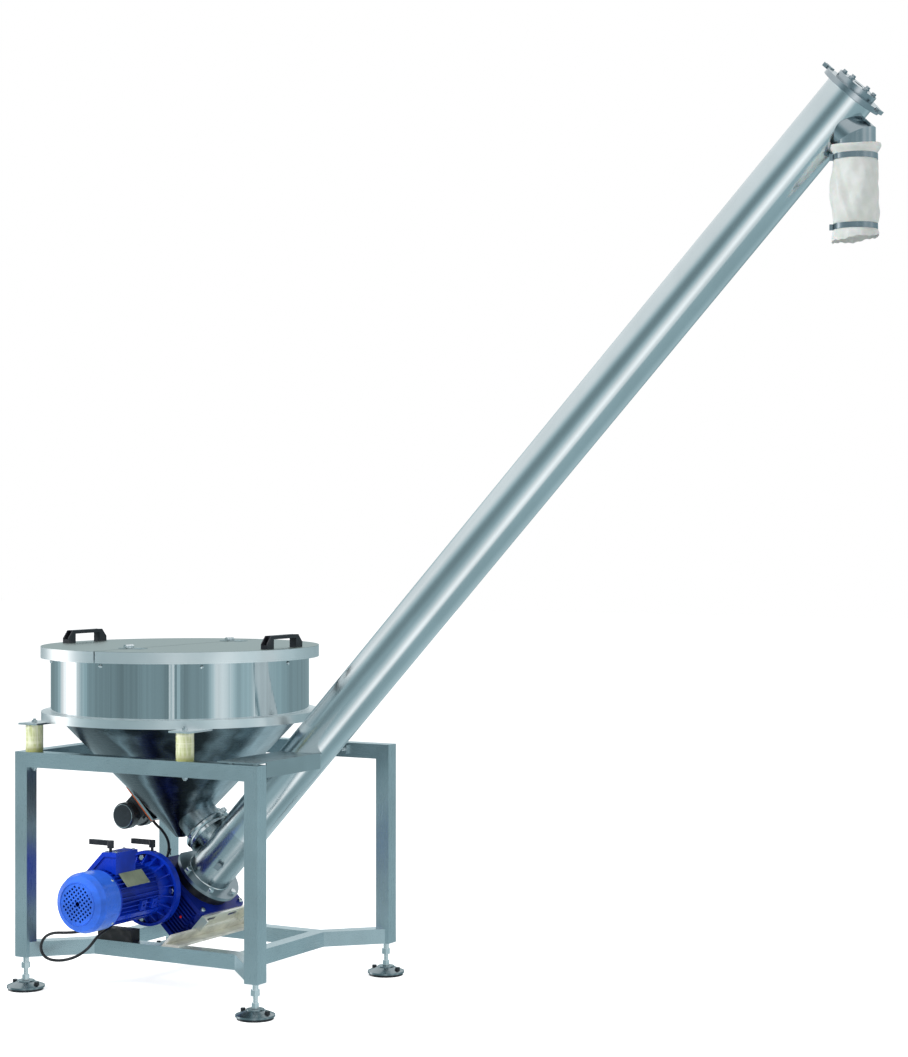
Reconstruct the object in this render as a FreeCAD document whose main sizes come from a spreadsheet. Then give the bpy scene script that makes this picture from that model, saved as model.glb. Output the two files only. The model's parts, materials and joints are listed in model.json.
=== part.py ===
import FreeCAD, Part
import math
import os

import Sketcher
from FreeCAD import Placement, Rotation, Vector

# Auger elevator on a levelled stand: a hopper drops bulk material through a clamped neck
# into a tube that climbs at 47 degrees, a geared motor turns the screw from below, and the
# material leaves through a spout at the top. Millimetres, +Z up. The origin is on the floor
# at the centre of the four feet, +X is the way the tube climbs and +Y points to the back.

doc = FreeCAD.newDocument("auger_elevator")
dim = doc.addObject("Spreadsheet::Sheet", "dim")

SIZES = [
    # Stand
    ("side_clearance", 4.7, "left rail from the cone at the level of the stand's top"),
    ("front_clearance", 58.2, "front and back rail from the cone at that level"),
    ("stand_top", 788, "top of the top rails above the floor"),
    ("leg_width", 50, "side of the square tube of legs, rails and bars"),
    ("tube_wall", 3, "wall of that square tube"),
    ("leg_bottom", 110, "underside of the legs above the floor"),
    ("end_plate", 8, "plate that closes the bottom of a leg"),
    ("ring_inset", 165, "from the stand's outside to the outside of the lower ring"),
    # Levelling feet
    ("foot_radius", 62.5, "metal pad of a foot"),
    ("foot_rubber_radius", 58, "rubber sole of a foot"),
    ("foot_rubber_height", 8, "height of the rubber sole"),
    ("foot_rim_top", 14, "top of the straight rim of the pad"),
    ("foot_collar_radius", 29, "collar on top of the pad"),
    ("foot_fillet", 2, "step round the collar"),
    ("foot_cone_top", 27, "top of the pad's cone"),
    ("foot_collar_top", 31, "top of the collar"),
    ("stem_radius", 8, "stem of a foot"),
    ("sleeve_radius", 10, "threaded sleeve between lock nut and leg"),
    ("stem_inside", 30, "how far the stem reaches up into the leg"),
    ("hex_flat", 22, "hexagon at the foot of the stem, across flats"),
    ("hex_top", 49, "top of that hexagon"),
    ("lock_nut_flat", 27, "lock nut, across flats"),
    ("lock_nut_bottom", 72, "underside of the lock nut"),
    ("lock_nut_height", 18, "height of the lock nut"),
    ("nub_offset", 46, "rubber plugs in the pad, from its centre"),
    ("nub_radius", 8, "radius of those plugs"),
    ("nub_top", 29, "top of those plugs"),
    # Hopper
    ("hopper_x", -116, "hopper axis along X"),
    ("round_fit", 0.2, "clearance between round faces that fit into each other"),
    ("sheet", 3, "wall of the hopper"),
    ("drum_radius", 434, "outside of the drum"),
    ("drum_bottom", 912, "top face of the hopper's ring, where the drum starts"),
    ("lid_overhang", 33.5, "outside of the lid beyond the drum"),
    ("lid_top", 1130, "top of the lid"),
    ("lid_rim", 38, "height of the lid's rim"),
    ("lid_gap", 5, "clearance of the lid leaves from the drum and from each other"),
    ("ring_overhang", 32, "outside of the hopper's ring beyond the drum"),
    ("ring_sheet", 4, "wall of the hopper's ring"),
    ("ring_bottom", 884, "underside of the ring's rim"),
    ("cone_inset", 30, "outside of the cone's top edge inside the drum's outside"),
    ("cone_tip_bottom", 480, "lowest point of the cone"),
    ("tip_radius", 16, "outside of the cone at its lowest point"),
    # Lid furniture
    ("handle_length", 208, "lid handle along Y"),
    ("handle_width", 26, "lid handle along X"),
    ("handle_height", 43, "lid handle above the lid"),
    ("handle_foot", 38, "length of a foot of the handle"),
    ("handle_bar", 12, "thickness of the handle's bar"),
    ("handle_shoulder", 17, "height of the handle's upright ends"),
    ("handle_slant", 24, "how far the handle's slanted ends lean in"),
    ("handle_wall", 4, "wall round the hollows in the handle's ends"),
    ("handle_offset", 410, "handle from the hopper's axis"),
    ("hinge_offset", 287, "hinges from the lid's middle along Y"),
    ("hinge_width", 40, "hinge along Y"),
    ("hinge_long", 62, "strap on the hinged leaf, from the pin"),
    ("hinge_short", 27, "strap on the fixed leaf, from the pin"),
    ("hinge_sheet", 3, "thickness of a hinge strap"),
    ("hinge_eye", 7, "radius of the hinge's knuckles"),
    ("hinge_pin", 3, "radius of the hinge's pin"),
    ("pin_head", 2, "how far the pin stands out of its knuckles"),
    # Mounts between hopper and stand
    ("mount_spread", 305, "rubber mounts, from the hopper axis along X"),
    ("mount_radius", 29, "radius of a rubber mount"),
    ("tab_width", 78, "width of a tab that rests on a rubber mount"),
    ("tab_sheet", 6, "thickness of a tab"),
    ("tab_reach", 95, "inner end of a tab, from its rubber mount"),
    ("tab_edge", 6, "a tab beyond its rubber mount"),
    ("mount_bolt_radius", 5, "stud of a rubber mount"),
    ("mount_nut_flat", 17, "nuts of a rubber mount, across flats"),
    ("nut_height", 8, "height of those nuts"),
    ("stud_spare", 5, "stud beyond those nuts"),
    ("hole_play", 0.3, "clearance of studs and stems in their holes"),
    # Climbing tube
    ("foot_x", 3, "centre of the tube's lower flange along X"),
    ("foot_z", 367.5, "centre of the tube's lower flange above the floor"),
    ("climb", 46.95, "climb of the tube in degrees"),
    ("auger_length", 3300, "length of the tube between its flanges"),
    ("auger_radius", 77, "outside of the tube"),
    ("auger_wall", 3, "wall of the tube"),
    ("foot_flange_radius", 118, "lower flange"),
    ("foot_flange_sheet", 12, "thickness of the lower flange"),
    ("foot_flange_flat", 100, "flat on the lower flange's upper left, from its centre"),
    ("seal_radius", 104, "black seal housing under the lower flange"),
    ("seal_height", 34, "height of the seal housing"),
    ("shaft_radius", 24, "core tube of the screw"),
    ("shaft_wall", 4, "wall of the core tube"),
    ("shaft_play", 0.5, "clearance of the core tube in the seal housing"),
    ("journal_radius", 15.5, "journals at the ends of the screw"),
    ("core_start", 40, "lower end of the core tube, below the lower flange"),
    ("core_end", 150, "upper end of the core tube, below the top flange"),
    ("core_cap", 20, "solid ends of the core tube"),
    ("head_flange_radius", 98, "top flanges"),
    ("head_flange_sheet", 8, "thickness of each top flange"),
    ("bearing_radius", 66, "bearing housing on the top flange"),
    ("bearing_height", 18, "height of the bearing housing"),
    ("fork_length", 22, "fork on the top cover's upper left, outwards"),
    ("fork_width", 26, "width of the fork and of the lug across from it"),
    ("fork_slot", 9, "slot of the fork"),
    ("fork_seat", 7, "how far fork and lug reach onto the top cover"),
    ("fork_sheet", 12, "thickness of fork and lug"),
    ("lug_length", 12, "lug on the other side, outwards"),
    ("lug_hole", 3.5, "radius of the hole in that lug"),
    # Neck between cone and tube
    ("neck_foot", 101, "where the neck's axis meets the tube axis, along the tube"),
    ("neck_radius", 69, "outside of the neck below the cone"),
    ("neck_wall", 3, "wall of the neck"),
    ("neck_inside", 170, "how far the neck's tube is cut to reach past the clamp into the cone"),
    ("clamp_along", 104, "middle of the clamp, from the tube's axis"),
    ("clamp_width", 22, "width of the clamp band"),
    ("clamp_radius", 85, "outside of the clamp band"),
    ("clamp_round", 7, "bevel of the clamp band's edges"),
    ("clamp_ring", 12, "lower ring of the clamp, along its axis"),
    ("clamp_lug", 22, "closing lugs of the clamp, outwards"),
    ("clamp_lug_sheet", 7, "thickness of a closing lug"),
    ("clamp_gap", 5, "gap between the closing lugs"),
    ("clamp_bolt", 4, "radius of the closing bolt"),
    ("clamp_bolt_length", 48, "length of the closing bolt"),
    ("clamp_wing", 9, "height of the wing nut's hub"),
    ("stub_radius", 54, "outside of the tube's inlet stub"),
    ("inlet_length", 210, "foot section of the tube that carries the inlet stub"),
    # Spout
    ("spout_along", 3209, "branch of the spout, along the tube"),
    ("branch_length", 96, "from the tube's axis to the axis of the vertical spout"),
    ("spout_radius", 58, "outside of the spout"),
    ("spout_wall", 3, "wall of the spout"),
    ("spout_fit", 0.6, "clearance of the spout round the tube"),
    ("spout_drop", 110, "length of the vertical spout below the elbow"),
    ("bag_start", 45, "upper end of the cloth sleeve below the elbow"),
    ("bag_length", 259, "length of the cloth sleeve"),
    ("cuff_length", 60, "turned cuff at the sleeve's lower end"),
    ("cuff_radius", 60, "inside of that cuff"),
    ("bag_radius", 62.5, "outside of the cloth sleeve"),
    ("bag_wall", 4, "thickness allowed for the cloth"),
    # Drive
    ("gear_width", 250, "gear housing along Y"),
    ("gear_height", 250, "gear housing across the tube's axis"),
    ("gear_depth", 150, "gear housing along the tube's axis"),
    ("gear_plate", 14, "thickness of the housing's end plates"),
    ("gear_corner", 22, "rounded corners of those plates"),
    ("rib_depth", 14, "cooling ribs on the housing's front and back"),
    ("rib_sheet", 4, "thickness of a rib"),
    ("rib_pitch", 12.5, "from one rib to the next"),
    ("rib_count", 9, "ribs on each side"),
    ("rib_margin", 24, "bare housing at both ends of the ribs"),
    ("pocket_size", 16, "side of the three pockets beside the ribs"),
    ("pocket_pitch", 24, "from one pocket to the next"),
    ("pocket_edge", 6, "bare housing beside the pockets"),
    ("bearing_cover", 62, "radius of the bearing cover on the housing's back"),
    ("input_offset", 70.5, "input axis from the output axis"),
    ("motor_flange_radius", 125, "flange of the motor"),
    ("motor_flange_sheet", 24, "rim of that flange, along the motor"),
    ("motor_dish", 9, "floor of the flange inside its rim"),
    ("motor_rim", 10, "width of the rim"),
    ("flange_rib", 3.5, "thickness of the flange's ribs"),
    ("flange_ribs", 18, "ribs between the flange's rim and the motor"),
    ("motor_neck", 25, "neck between gear housing and motor flange"),
    ("motor_neck_radius", 90, "radius of that neck"),
    ("motor_body_radius", 78, "motor's core"),
    ("motor_fin_radius", 92, "tips of the cooling fins"),
    ("motor_length", 383, "motor from its flange to the end of its fan cover"),
    ("fin_count", 36, "cooling fins"),
    ("fin_start", 62, "start of the fins, from the flange's back"),
    ("fin_sheet", 3, "thickness of a cooling fin"),
    ("shield_step", 10, "end shield of the motor, each side of the cover's edge"),
    ("pad_width", 26, "foot pads on the motor's side, along the motor"),
    ("pad_height", 34, "foot pads, around the motor"),
    ("pad_reach", 98, "face of the foot pads, from the motor's axis"),
    ("rail_reach", 96, "face of the bare rail below the pads, from the motor's axis"),
    ("rail_width", 17, "width of that rail"),
    ("pad_start", 88, "first foot pad, from the flange's back"),
    ("pad_pitch", 58, "from one foot pad to the next"),
    ("pad_bolt", 5, "radius of the holes in the foot pads"),
    ("fan_cover_length", 100, "length of the fan cover"),
    ("fan_cover_radius", 97, "radius of the fan cover"),
    ("cover_sheet", 2, "sheet of the fan cover"),
    ("cover_round", 28, "rounded shoulder of the fan cover"),
    ("cover_bead", 2.5, "bead round the fan cover's grille"),
    ("grille_radius", 59, "outermost holes of the grille"),
    ("grille_pitch", 12.5, "from one hole to the next"),
    ("grille_hole", 7, "side of a square hole"),
    ("grille_turn", 38, "slant of the rows of holes, in degrees"),
    ("grille_centre", 8, "radius of the round hole in the middle"),
    ("terminal_left", 61, "terminal box, from the motor's axis to its left side"),
    ("terminal_right", 50, "terminal box, from the motor's axis to its right side"),
    ("terminal_top", 150, "terminal box, from the motor's axis to its top"),
    ("terminal_slant", 61, "slanted corner of the terminal box"),
    ("terminal_start", 146, "terminal box, from the motor's flange"),
    ("terminal_length", 104, "terminal box along the motor"),
    ("lid_lip", 5, "lid of the terminal box beyond its walls"),
    ("lid_depth", 14, "depth of that lid"),
    ("cable_radius", 4.75, "radius of the black lead"),
    ("gland_radius", 11, "radius of the lead's glands"),
    ("box_gland_length", 26, "gland on the terminal box"),
    ("box_gland_level", 65.8, "that gland above the motor's axis"),
    ("box_gland_start", 172, "that gland from the motor's flange"),
    ("lever_stud", 12, "bare stud under a clamping lever"),
    ("stud_radius", 5, "radius of that stud"),
    ("lever_hub", 11, "radius of a lever's hub"),
    ("lever_height", 24, "height of a lever's hub"),
    ("lever_length", 86, "arm of a lever"),
    ("lever_arm", 8, "half the width of a lever's arm"),
    ("bracket_sheet", 8, "thickness of the gear bracket"),
    ("bracket_margin", 5, "gear housing beyond the bracket along Y"),
    ("cheek_height", 28, "cheeks of the gear bracket"),
    ("cheek_length", 48, "cheeks of the gear bracket, along the tube's axis"),
    ("slot_length", 44, "slots in the gear bracket"),
    ("slot_width", 11, "width of those slots"),
    ("angle_leg", 70, "flat leg of the support angle"),
    ("angle_rise", 55, "slanted leg of the support angle"),
    ("block_length", 140, "support block along X"),
    ("block_margin", 3, "ring bar beyond the support block, each side"),
    ("block_height", 40, "height of the support block"),
    # Tube supports on the stand
    ("saddle_width", 152, "saddle plate along X"),
    ("saddle_lift", 5, "spacers under the saddle plate"),
    ("saddle_sheet", 4, "thickness of the saddle plate"),
    ("saddle_flange", 50, "flange turned down on the saddle plate"),
    ("saddle_short", 60, "end of that flange before the stand's middle"),
    ("spacer_radius", 9, "spacers under the saddle plate"),
    ("spacer_pitch", 90, "from one spacer to the next"),
    ("rail_lug_x", 306, "lug on the back rail, along X"),
    ("rail_lug_side", 30, "side of that lug"),
    ("rail_lug_sheet", 12, "thickness of that lug"),
    ("rail_lug_level", 38, "underside of that lug, below the stand's top"),
    ("rail_lug_bolt", 6, "radius of the lug's bolt"),
    ("rail_lug_bolt_length", 14, "how far the bolt stands out of the lug"),
    # Vibrator
    ("vibrator_level", 595, "middle of the vibrator's plate on the cone wall, above the floor"),
    ("vibrator_rise", 77, "axis of the vibrator above its plate"),
    ("vibrator_shift", 12, "axis of the vibrator, up the wall from the plate's middle"),
    ("vibrator_radius", 45, "end caps of the vibrator"),
    ("vibrator_waist", 39, "radius of the vibrator between its caps"),
    ("vibrator_foot", 81, "foot of the vibrator along the wall"),
    ("cap_round", 6, "rounded edge of an end cap"),
    ("lead_block_width", 30, "terminal block of the vibrator along Y"),
    ("lead_block_height", 36, "that block, square to the wall"),
    ("lead_block_sheet", 5.5, "that block, outwards"),
    ("lead_gland_level", 40.1, "gland of that block above the cone wall"),
    ("lead_gland_end", 53, "end of that gland from the plate's middle, down the wall"),
    ("vibrator_length", 130, "length of the vibrator"),
    ("cap_length", 34, "length of a vibrator's end cap"),
    ("plate_length", 150, "mounting plate along the cone wall"),
    ("plate_width", 110, "mounting plate along Y"),
    ("plate_sheet", 8, "mounting plate with its gasket"),
    ("band_width", 12, "steel bands on the cloth sleeve"),
    ("band_sheet", 1.5, "thickness of those bands"),
    ("band_top", 30, "upper band below the sleeve's top"),
    ("band_bottom", 45, "lower band above the sleeve's bottom"),
]

for row, (alias, value, meaning) in enumerate(SIZES, start=1):
    dim.set("A%d" % row, meaning)
    dim.set("B%d" % row, str(value))
    dim.setAlias("B%d" % row, alias)
doc.recompute()

parts = []
AXIS_TURNS = {
    "z": Rotation(),
    "x": Rotation(Vector(0, 1, 0), 90),
    "y": Rotation(Vector(1, 0, 0), -90),
}


def number(formula):
    return float(dim.evalExpression(str(formula)))


def bind(thing, **formulas):
    for prop, formula in formulas.items():
        thing.setExpression(prop.replace("__", "."), str(formula))
    return thing


def place(thing, at=(0, 0, 0), turn=None):
    thing.Placement = Placement(Vector(*[number(value) for value in at]), turn or Rotation())
    for axis, formula in zip("xyz", at):
        thing.setExpression("Placement.Base." + axis, str(formula))
    return thing


def box(name, size, at=(0, 0, 0), turn=None):
    thing = doc.addObject("Part::Box", name)
    bind(thing, Length=size[0], Width=size[1], Height=size[2])
    return place(thing, at, turn)


def rod(name, radius, height, at=(0, 0, 0), axis="z"):
    thing = doc.addObject("Part::Cylinder", name)
    bind(thing, Radius=radius, Height=height)
    return place(thing, at, AXIS_TURNS[axis])


def cone(name, low_radius, high_radius, height, at=(0, 0, 0)):
    thing = doc.addObject("Part::Cone", name)
    bind(thing, Radius1=low_radius, Radius2=high_radius, Height=height)
    return place(thing, at)


def hexagon(name, across_flats, height, at=(0, 0, 0), axis="z"):
    thing = doc.addObject("Part::Prism", name)
    thing.Polygon = 6
    bind(thing, Circumradius="(%s) / sqrt(3)" % across_flats, Height=height)
    return place(thing, at, AXIS_TURNS[axis])


def fuse(name, *shapes):
    thing = doc.addObject("Part::MultiFuse", name)
    thing.Shapes = list(shapes)
    thing.Refine = True
    return thing


def cut(name, base, *tools):
    """Cut the tools away one after the other; the last cut has the given name."""
    for index, tool in enumerate(tools, start=1):
        last = index == len(tools)
        thing = doc.addObject("Part::Cut", name if last else "%s_cut_%d" % (name, index))
        thing.Base = base
        thing.Tool = tool
        thing.Refine = last
        base = thing
    return base


def wrap(name, *shapes):
    thing = doc.addObject("Part::Compound", name)
    thing.Links = list(shapes)
    return thing


def common(name, first, second):
    thing = doc.addObject("Part::Common", name)
    thing.Base = first
    thing.Tool = second
    thing.Refine = True
    return thing


def outline(body, name, points, plane="XZ_Plane"):
    """Sketch a closed outline whose corners are held by formulas."""
    sketch = body.newObject("Sketcher::SketchObject", name)
    origin_plane = [item for item in body.Origin.OriginFeatures if item.Role == plane][0]
    sketch.AttachmentSupport = [(origin_plane, "")]
    sketch.MapMode = "FlatFace"
    corners = [Vector(number(x), number(y), 0) for x, y in points]
    count = len(corners)
    for index in range(count):
        line = Part.LineSegment(corners[index], corners[(index + 1) % count])
        sketch.addGeometry(line, False)
    for index in range(count):
        sketch.addConstraint(Sketcher.Constraint("Coincident", index, 2, (index + 1) % count, 1))
    for index, (x, y) in enumerate(points):
        for kind, formula in (("DistanceX", x), ("DistanceY", y)):
            limit = Sketcher.Constraint(kind, -1, 1, index, 1, number(formula))
            place_in_list = sketch.addConstraint(limit)
            sketch.setExpression("Constraints[%d]" % place_in_list, str(formula))
    return sketch


def revolved(name, points, turn=360):
    """Body turned about its Z axis from points given as radius and height."""
    body = doc.addObject("PartDesign::Body", name)
    sketch = outline(body, name + "_section", points)
    feature = body.newObject("PartDesign::Revolution", name + "_turned")
    feature.Profile = sketch
    feature.ReferenceAxis = (sketch, ["V_Axis"])
    feature.Angle = turn
    sketch.Visibility = False
    return body


def node(thing, label):
    thing.Label = label
    parts.append(thing)
    return thing


# Stand: four legs of square tube, top rails on three sides mitred into them, and a lower
# ring of bars with a diagonal strut from each of its corners to a leg.

REACH = 400
CONE_DROP = "(dim.ring_bottom - dim.cone_tip_bottom)"
CONE_TOP = "(dim.drum_radius - dim.cone_inset)"


def cone_radius(level):
    """Outside of the cone at a level above the floor, as a formula."""
    return ("(dim.tip_radius + (%s - dim.cone_tip_bottom) * (%s - dim.tip_radius) / %s)"
            % (level, CONE_TOP, CONE_DROP))


CONE_AT_RAIL = cone_radius("dim.stand_top")
STAND_LENGTH = "(2 * (%s + dim.side_clearance + dim.leg_width - dim.hopper_x))" % CONE_AT_RAIL
STAND_WIDTH = "(2 * (%s + dim.front_clearance + dim.leg_width))" % CONE_AT_RAIL
LEFT = "(-%s / 2)" % STAND_LENGTH
RIGHT = "(%s / 2)" % STAND_LENGTH
FRONT = "(-%s / 2)" % STAND_WIDTH
BACK = "(%s / 2)" % STAND_WIDTH
INNER_WIDTH = "dim.leg_width - 2 * dim.tube_wall"


def half_space(name, corner, normal):
    """Large cube on the far side of a plane through the corner."""
    turn = Rotation(Vector(0, 0, 1), Vector(*normal))
    shift = turn.multVec(Vector(-REACH, -REACH, 0))
    at = ["%s + %.6f" % (formula, step) for formula, step in zip(corner, shift)]
    return box(name, (2 * REACH, 2 * REACH, 2 * REACH), at, turn)


def leg(label, x_side, y_side):
    corner_x = RIGHT if x_side > 0 else LEFT
    corner_y = BACK if y_side > 0 else FRONT
    at_x = corner_x + (" - dim.leg_width" if x_side > 0 else "")
    at_y = corner_y + (" - dim.leg_width" if y_side > 0 else "")
    outside = box(label + "_outside", ("dim.leg_width", "dim.leg_width", "dim.stand_top - dim.leg_bottom"),
                  (at_x, at_y, "dim.leg_bottom"))
    inside = box(label + "_inside", (INNER_WIDTH, INNER_WIDTH, "dim.stand_top - dim.leg_bottom"),
                 (at_x + " + dim.tube_wall", at_y + " + dim.tube_wall", "dim.leg_bottom + dim.end_plate"))
    stem_hole = rod(label + "_stem_hole", "dim.stem_radius + dim.hole_play", "dim.end_plate * 2",
                    (at_x + " + dim.leg_width / 2", at_y + " + dim.leg_width / 2", "dim.leg_bottom - 1"))
    top_corner = (corner_x, corner_y, "dim.stand_top")
    tools = [inside, stem_hole, half_space(label + "_mitre_x", top_corner, (-x_side, 0, 1))]
    if x_side < 0:
        tools.append(half_space(label + "_mitre_y", top_corner, (0, -y_side, 1)))
    return node(cut(label, outside, *tools), label)


leg("leg_front_left", -1, -1)
leg("leg_front_right", 1, -1)
leg("leg_back_right", 1, 1)
leg("leg_back_left", -1, 1)


def long_rail(label, y_side):
    corner_y = BACK if y_side > 0 else FRONT
    at_y = corner_y + (" - dim.leg_width" if y_side > 0 else "")
    outside = box(label + "_outside", (STAND_LENGTH, "dim.leg_width", "dim.leg_width"),
                  (LEFT, at_y, "dim.stand_top - dim.leg_width"))
    inside = box(label + "_inside", (STAND_LENGTH, INNER_WIDTH, INNER_WIDTH),
                 (LEFT, at_y + " + dim.tube_wall", "dim.stand_top - dim.leg_width + dim.tube_wall"))
    left_corner = (LEFT, corner_y, "dim.stand_top")
    right_corner = (RIGHT, corner_y, "dim.stand_top")
    bolt_holes = [rod("%s_hole_%d" % (label, index), MOUNT_HOLE, "dim.leg_width * 2",
                      ("dim.hopper_x + %d * dim.mount_spread" % side, MOUNT_Y[y_side],
                       "dim.stand_top - dim.leg_width * 1.5"))
                  for index, side in enumerate((-1, 1))]
    return node(cut(label, outside, inside,
                    half_space(label + "_mitre_leg_left", left_corner, (-1, 0, -1)),
                    half_space(label + "_mitre_rail", left_corner, (-1, -y_side, 0)),
                    half_space(label + "_mitre_leg_right", right_corner, (1, 0, -1)),
                    *bolt_holes), label)


MOUNT_HOLE = "(dim.mount_bolt_radius + dim.hole_play)"
MOUNT_Y = {1: BACK + " - dim.leg_width / 2", -1: FRONT + " + dim.leg_width / 2"}
long_rail("top_rail_front", -1)
long_rail("top_rail_back", 1)


def left_rail(label):
    outside = box(label + "_outside", ("dim.leg_width", STAND_WIDTH, "dim.leg_width"),
                  (LEFT, FRONT, "dim.stand_top - dim.leg_width"))
    inside = box(label + "_inside", (INNER_WIDTH, STAND_WIDTH, INNER_WIDTH),
                 (LEFT + " + dim.tube_wall", FRONT, "dim.stand_top - dim.leg_width + dim.tube_wall"))
    front_corner = (LEFT, FRONT, "dim.stand_top")
    back_corner = (LEFT, BACK, "dim.stand_top")
    return node(cut(label, outside, inside,
                    half_space(label + "_mitre_front_rail", front_corner, (1, -1, 0)),
                    half_space(label + "_mitre_front_leg", front_corner, (0, -1, -1)),
                    half_space(label + "_mitre_back_rail", back_corner, (1, 1, 0)),
                    half_space(label + "_mitre_back_leg", back_corner, (0, 1, -1))), label)


left_rail("top_rail_left")

RING_LEFT = LEFT + " + dim.ring_inset"
RING_RIGHT = RIGHT + " - dim.ring_inset"
RING_FRONT = FRONT + " + dim.ring_inset"
RING_BACK = BACK + " - dim.ring_inset"
RING_LENGTH = "(%s - 2 * dim.ring_inset)" % STAND_LENGTH
RING_WIDTH = "(%s - 2 * dim.ring_inset)" % STAND_WIDTH
STRUT_LENGTH = "((dim.ring_inset - dim.leg_width) * sqrt(2) + dim.leg_width)"


def strut(label, x_side, y_side):
    """Diagonal tube between a corner of the ring and the inner corner of a leg."""
    middle_x = "%d * (%s - dim.ring_inset - dim.leg_width) / 2" % (x_side, STAND_LENGTH)
    middle_y = "%d * (%s - dim.ring_inset - dim.leg_width) / 2" % (y_side, STAND_WIDTH)
    angle = math.degrees(math.atan2(y_side, x_side))
    turn = Rotation(Vector(0, 0, 1), angle)
    shapes = []
    for kind, width, lift in (("outside", "dim.leg_width", "0"), ("inside", INNER_WIDTH, "dim.tube_wall")):
        along = turn.multVec(Vector(1, 0, 0))
        across = turn.multVec(Vector(0, 1, 0))
        at = ["%s - (%.6f) * %s / 2 - (%.6f) * (%s) / 2" % (middle, a, STRUT_LENGTH, c, width)
              for middle, a, c in ((middle_x, along.x, across.x), (middle_y, along.y, across.y))]
        at.append("dim.leg_bottom + " + lift)
        shapes.append(box("%s_%s" % (label, kind), (STRUT_LENGTH, width, width), at, turn))
    ring_space = box(label + "_ring_space", (RING_LENGTH, RING_WIDTH, "dim.leg_width * 3"),
                     (RING_LEFT, RING_FRONT, "dim.leg_bottom - dim.leg_width"))
    leg_space = box(label + "_leg_space", ("dim.leg_width", "dim.leg_width", "dim.leg_width * 3"),
                    ((RIGHT + " - dim.leg_width") if x_side > 0 else LEFT,
                     (BACK + " - dim.leg_width") if y_side > 0 else FRONT, "dim.leg_bottom - dim.leg_width"))
    return cut(label, shapes[0], shapes[1], ring_space, leg_space)


def ring_bar(label, y_side):
    """Long bar of the lower ring with the two struts welded to its ends."""
    corner_y = RING_BACK if y_side > 0 else RING_FRONT
    at_y = corner_y + (" - dim.leg_width" if y_side > 0 else "")
    outside = box(label + "_outside", (RING_LENGTH, "dim.leg_width", "dim.leg_width"),
                  (RING_LEFT, at_y, "dim.leg_bottom"))
    inside = box(label + "_inside", (RING_LENGTH, INNER_WIDTH, INNER_WIDTH),
                 (RING_LEFT, at_y + " + dim.tube_wall", "dim.leg_bottom + dim.tube_wall"))
    bar = cut(label + "_bar", outside, inside,
              half_space(label + "_mitre_left", (RING_LEFT, corner_y, "0"), (-1, -y_side, 0)),
              half_space(label + "_mitre_right", (RING_RIGHT, corner_y, "0"), (1, -y_side, 0)))
    return node(fuse(label, bar, strut(label + "_strut_left", -1, y_side),
                     strut(label + "_strut_right", 1, y_side)), label)


ring_bar("lower_bar_front", -1)
ring_bar("lower_bar_back", 1)


def cross_bar(label, x_side):
    corner_x = RING_RIGHT if x_side > 0 else RING_LEFT
    at_x = corner_x + (" - dim.leg_width" if x_side > 0 else "")
    outside = box(label + "_outside", ("dim.leg_width", RING_WIDTH, "dim.leg_width"),
                  (at_x, RING_FRONT, "dim.leg_bottom"))
    inside = box(label + "_inside", (INNER_WIDTH, RING_WIDTH, INNER_WIDTH),
                 (at_x + " + dim.tube_wall", RING_FRONT, "dim.leg_bottom + dim.tube_wall"))
    return node(cut(label, outside, inside,
                    half_space(label + "_mitre_front", (corner_x, RING_FRONT, "0"), (-x_side, -1, 0)),
                    half_space(label + "_mitre_back", (corner_x, RING_BACK, "0"), (-x_side, 1, 0))), label)


cross_bar("lower_bar_left", -1)
cross_bar("lower_bar_right", 1)


# Levelling feet: a round pad with a rubber sole, a stem with a hexagon, and a lock nut.

FOOT_SECTION = [
    (0, 0),
    ("dim.foot_rubber_radius", 0),
    ("dim.foot_rubber_radius", "dim.foot_rubber_height"),
    ("dim.foot_radius", "dim.foot_rubber_height"),
    ("dim.foot_radius", "dim.foot_rim_top"),
    ("dim.foot_collar_radius + dim.foot_fillet", "dim.foot_cone_top"),
    ("dim.foot_collar_radius", "dim.foot_cone_top"),
    ("dim.foot_collar_radius", "dim.foot_collar_top"),
    ("dim.stem_radius", "dim.foot_collar_top"),
    ("dim.stem_radius", "dim.lock_nut_bottom"),
    ("dim.sleeve_radius", "dim.lock_nut_bottom"),
    ("dim.sleeve_radius", "dim.leg_bottom"),
    ("dim.stem_radius", "dim.leg_bottom"),
    ("dim.stem_radius", "dim.leg_bottom + dim.stem_inside"),
    (0, "dim.leg_bottom + dim.stem_inside"),
]


def levelling_foot(label, x_side, y_side):
    turned = revolved(label + "_turned", FOOT_SECTION)
    hexagonal = hexagon(label + "_hexagon", "dim.hex_flat", "dim.hex_top - dim.foot_collar_top",
                        (0, 0, "dim.foot_collar_top"))
    lock_nut = hexagon(label + "_lock_nut", "dim.lock_nut_flat", "dim.lock_nut_height",
                       (0, 0, "dim.lock_nut_bottom"))
    plugs = [rod("%s_plug_%d" % (label, index), "dim.nub_radius", "dim.nub_top - dim.foot_rubber_height",
                 ("%d * dim.nub_offset" % side, 0, "dim.foot_rubber_height"))
             for index, side in enumerate((-1, 1))]
    foot = fuse(label, turned, hexagonal, lock_nut, *plugs)
    place(foot, ("%d * (%s - dim.leg_width) / 2" % (x_side, STAND_LENGTH),
                 "%d * (%s - dim.leg_width) / 2" % (y_side, STAND_WIDTH), 0))
    return node(foot, label)


levelling_foot("foot_front_left", -1, -1)
levelling_foot("foot_front_right", 1, -1)
levelling_foot("foot_back_right", 1, 1)
levelling_foot("foot_back_left", -1, 1)


# Hopper: drum with a ring at its foot, a cone below it, and a split lid whose right leaf
# is hinged on the seam. The pieces share the hopper's axis.

HOPPER = ("dim.hopper_x", 0, 0)
DRUM_TOP = "(dim.lid_top - dim.sheet - dim.lid_gap)"

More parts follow.
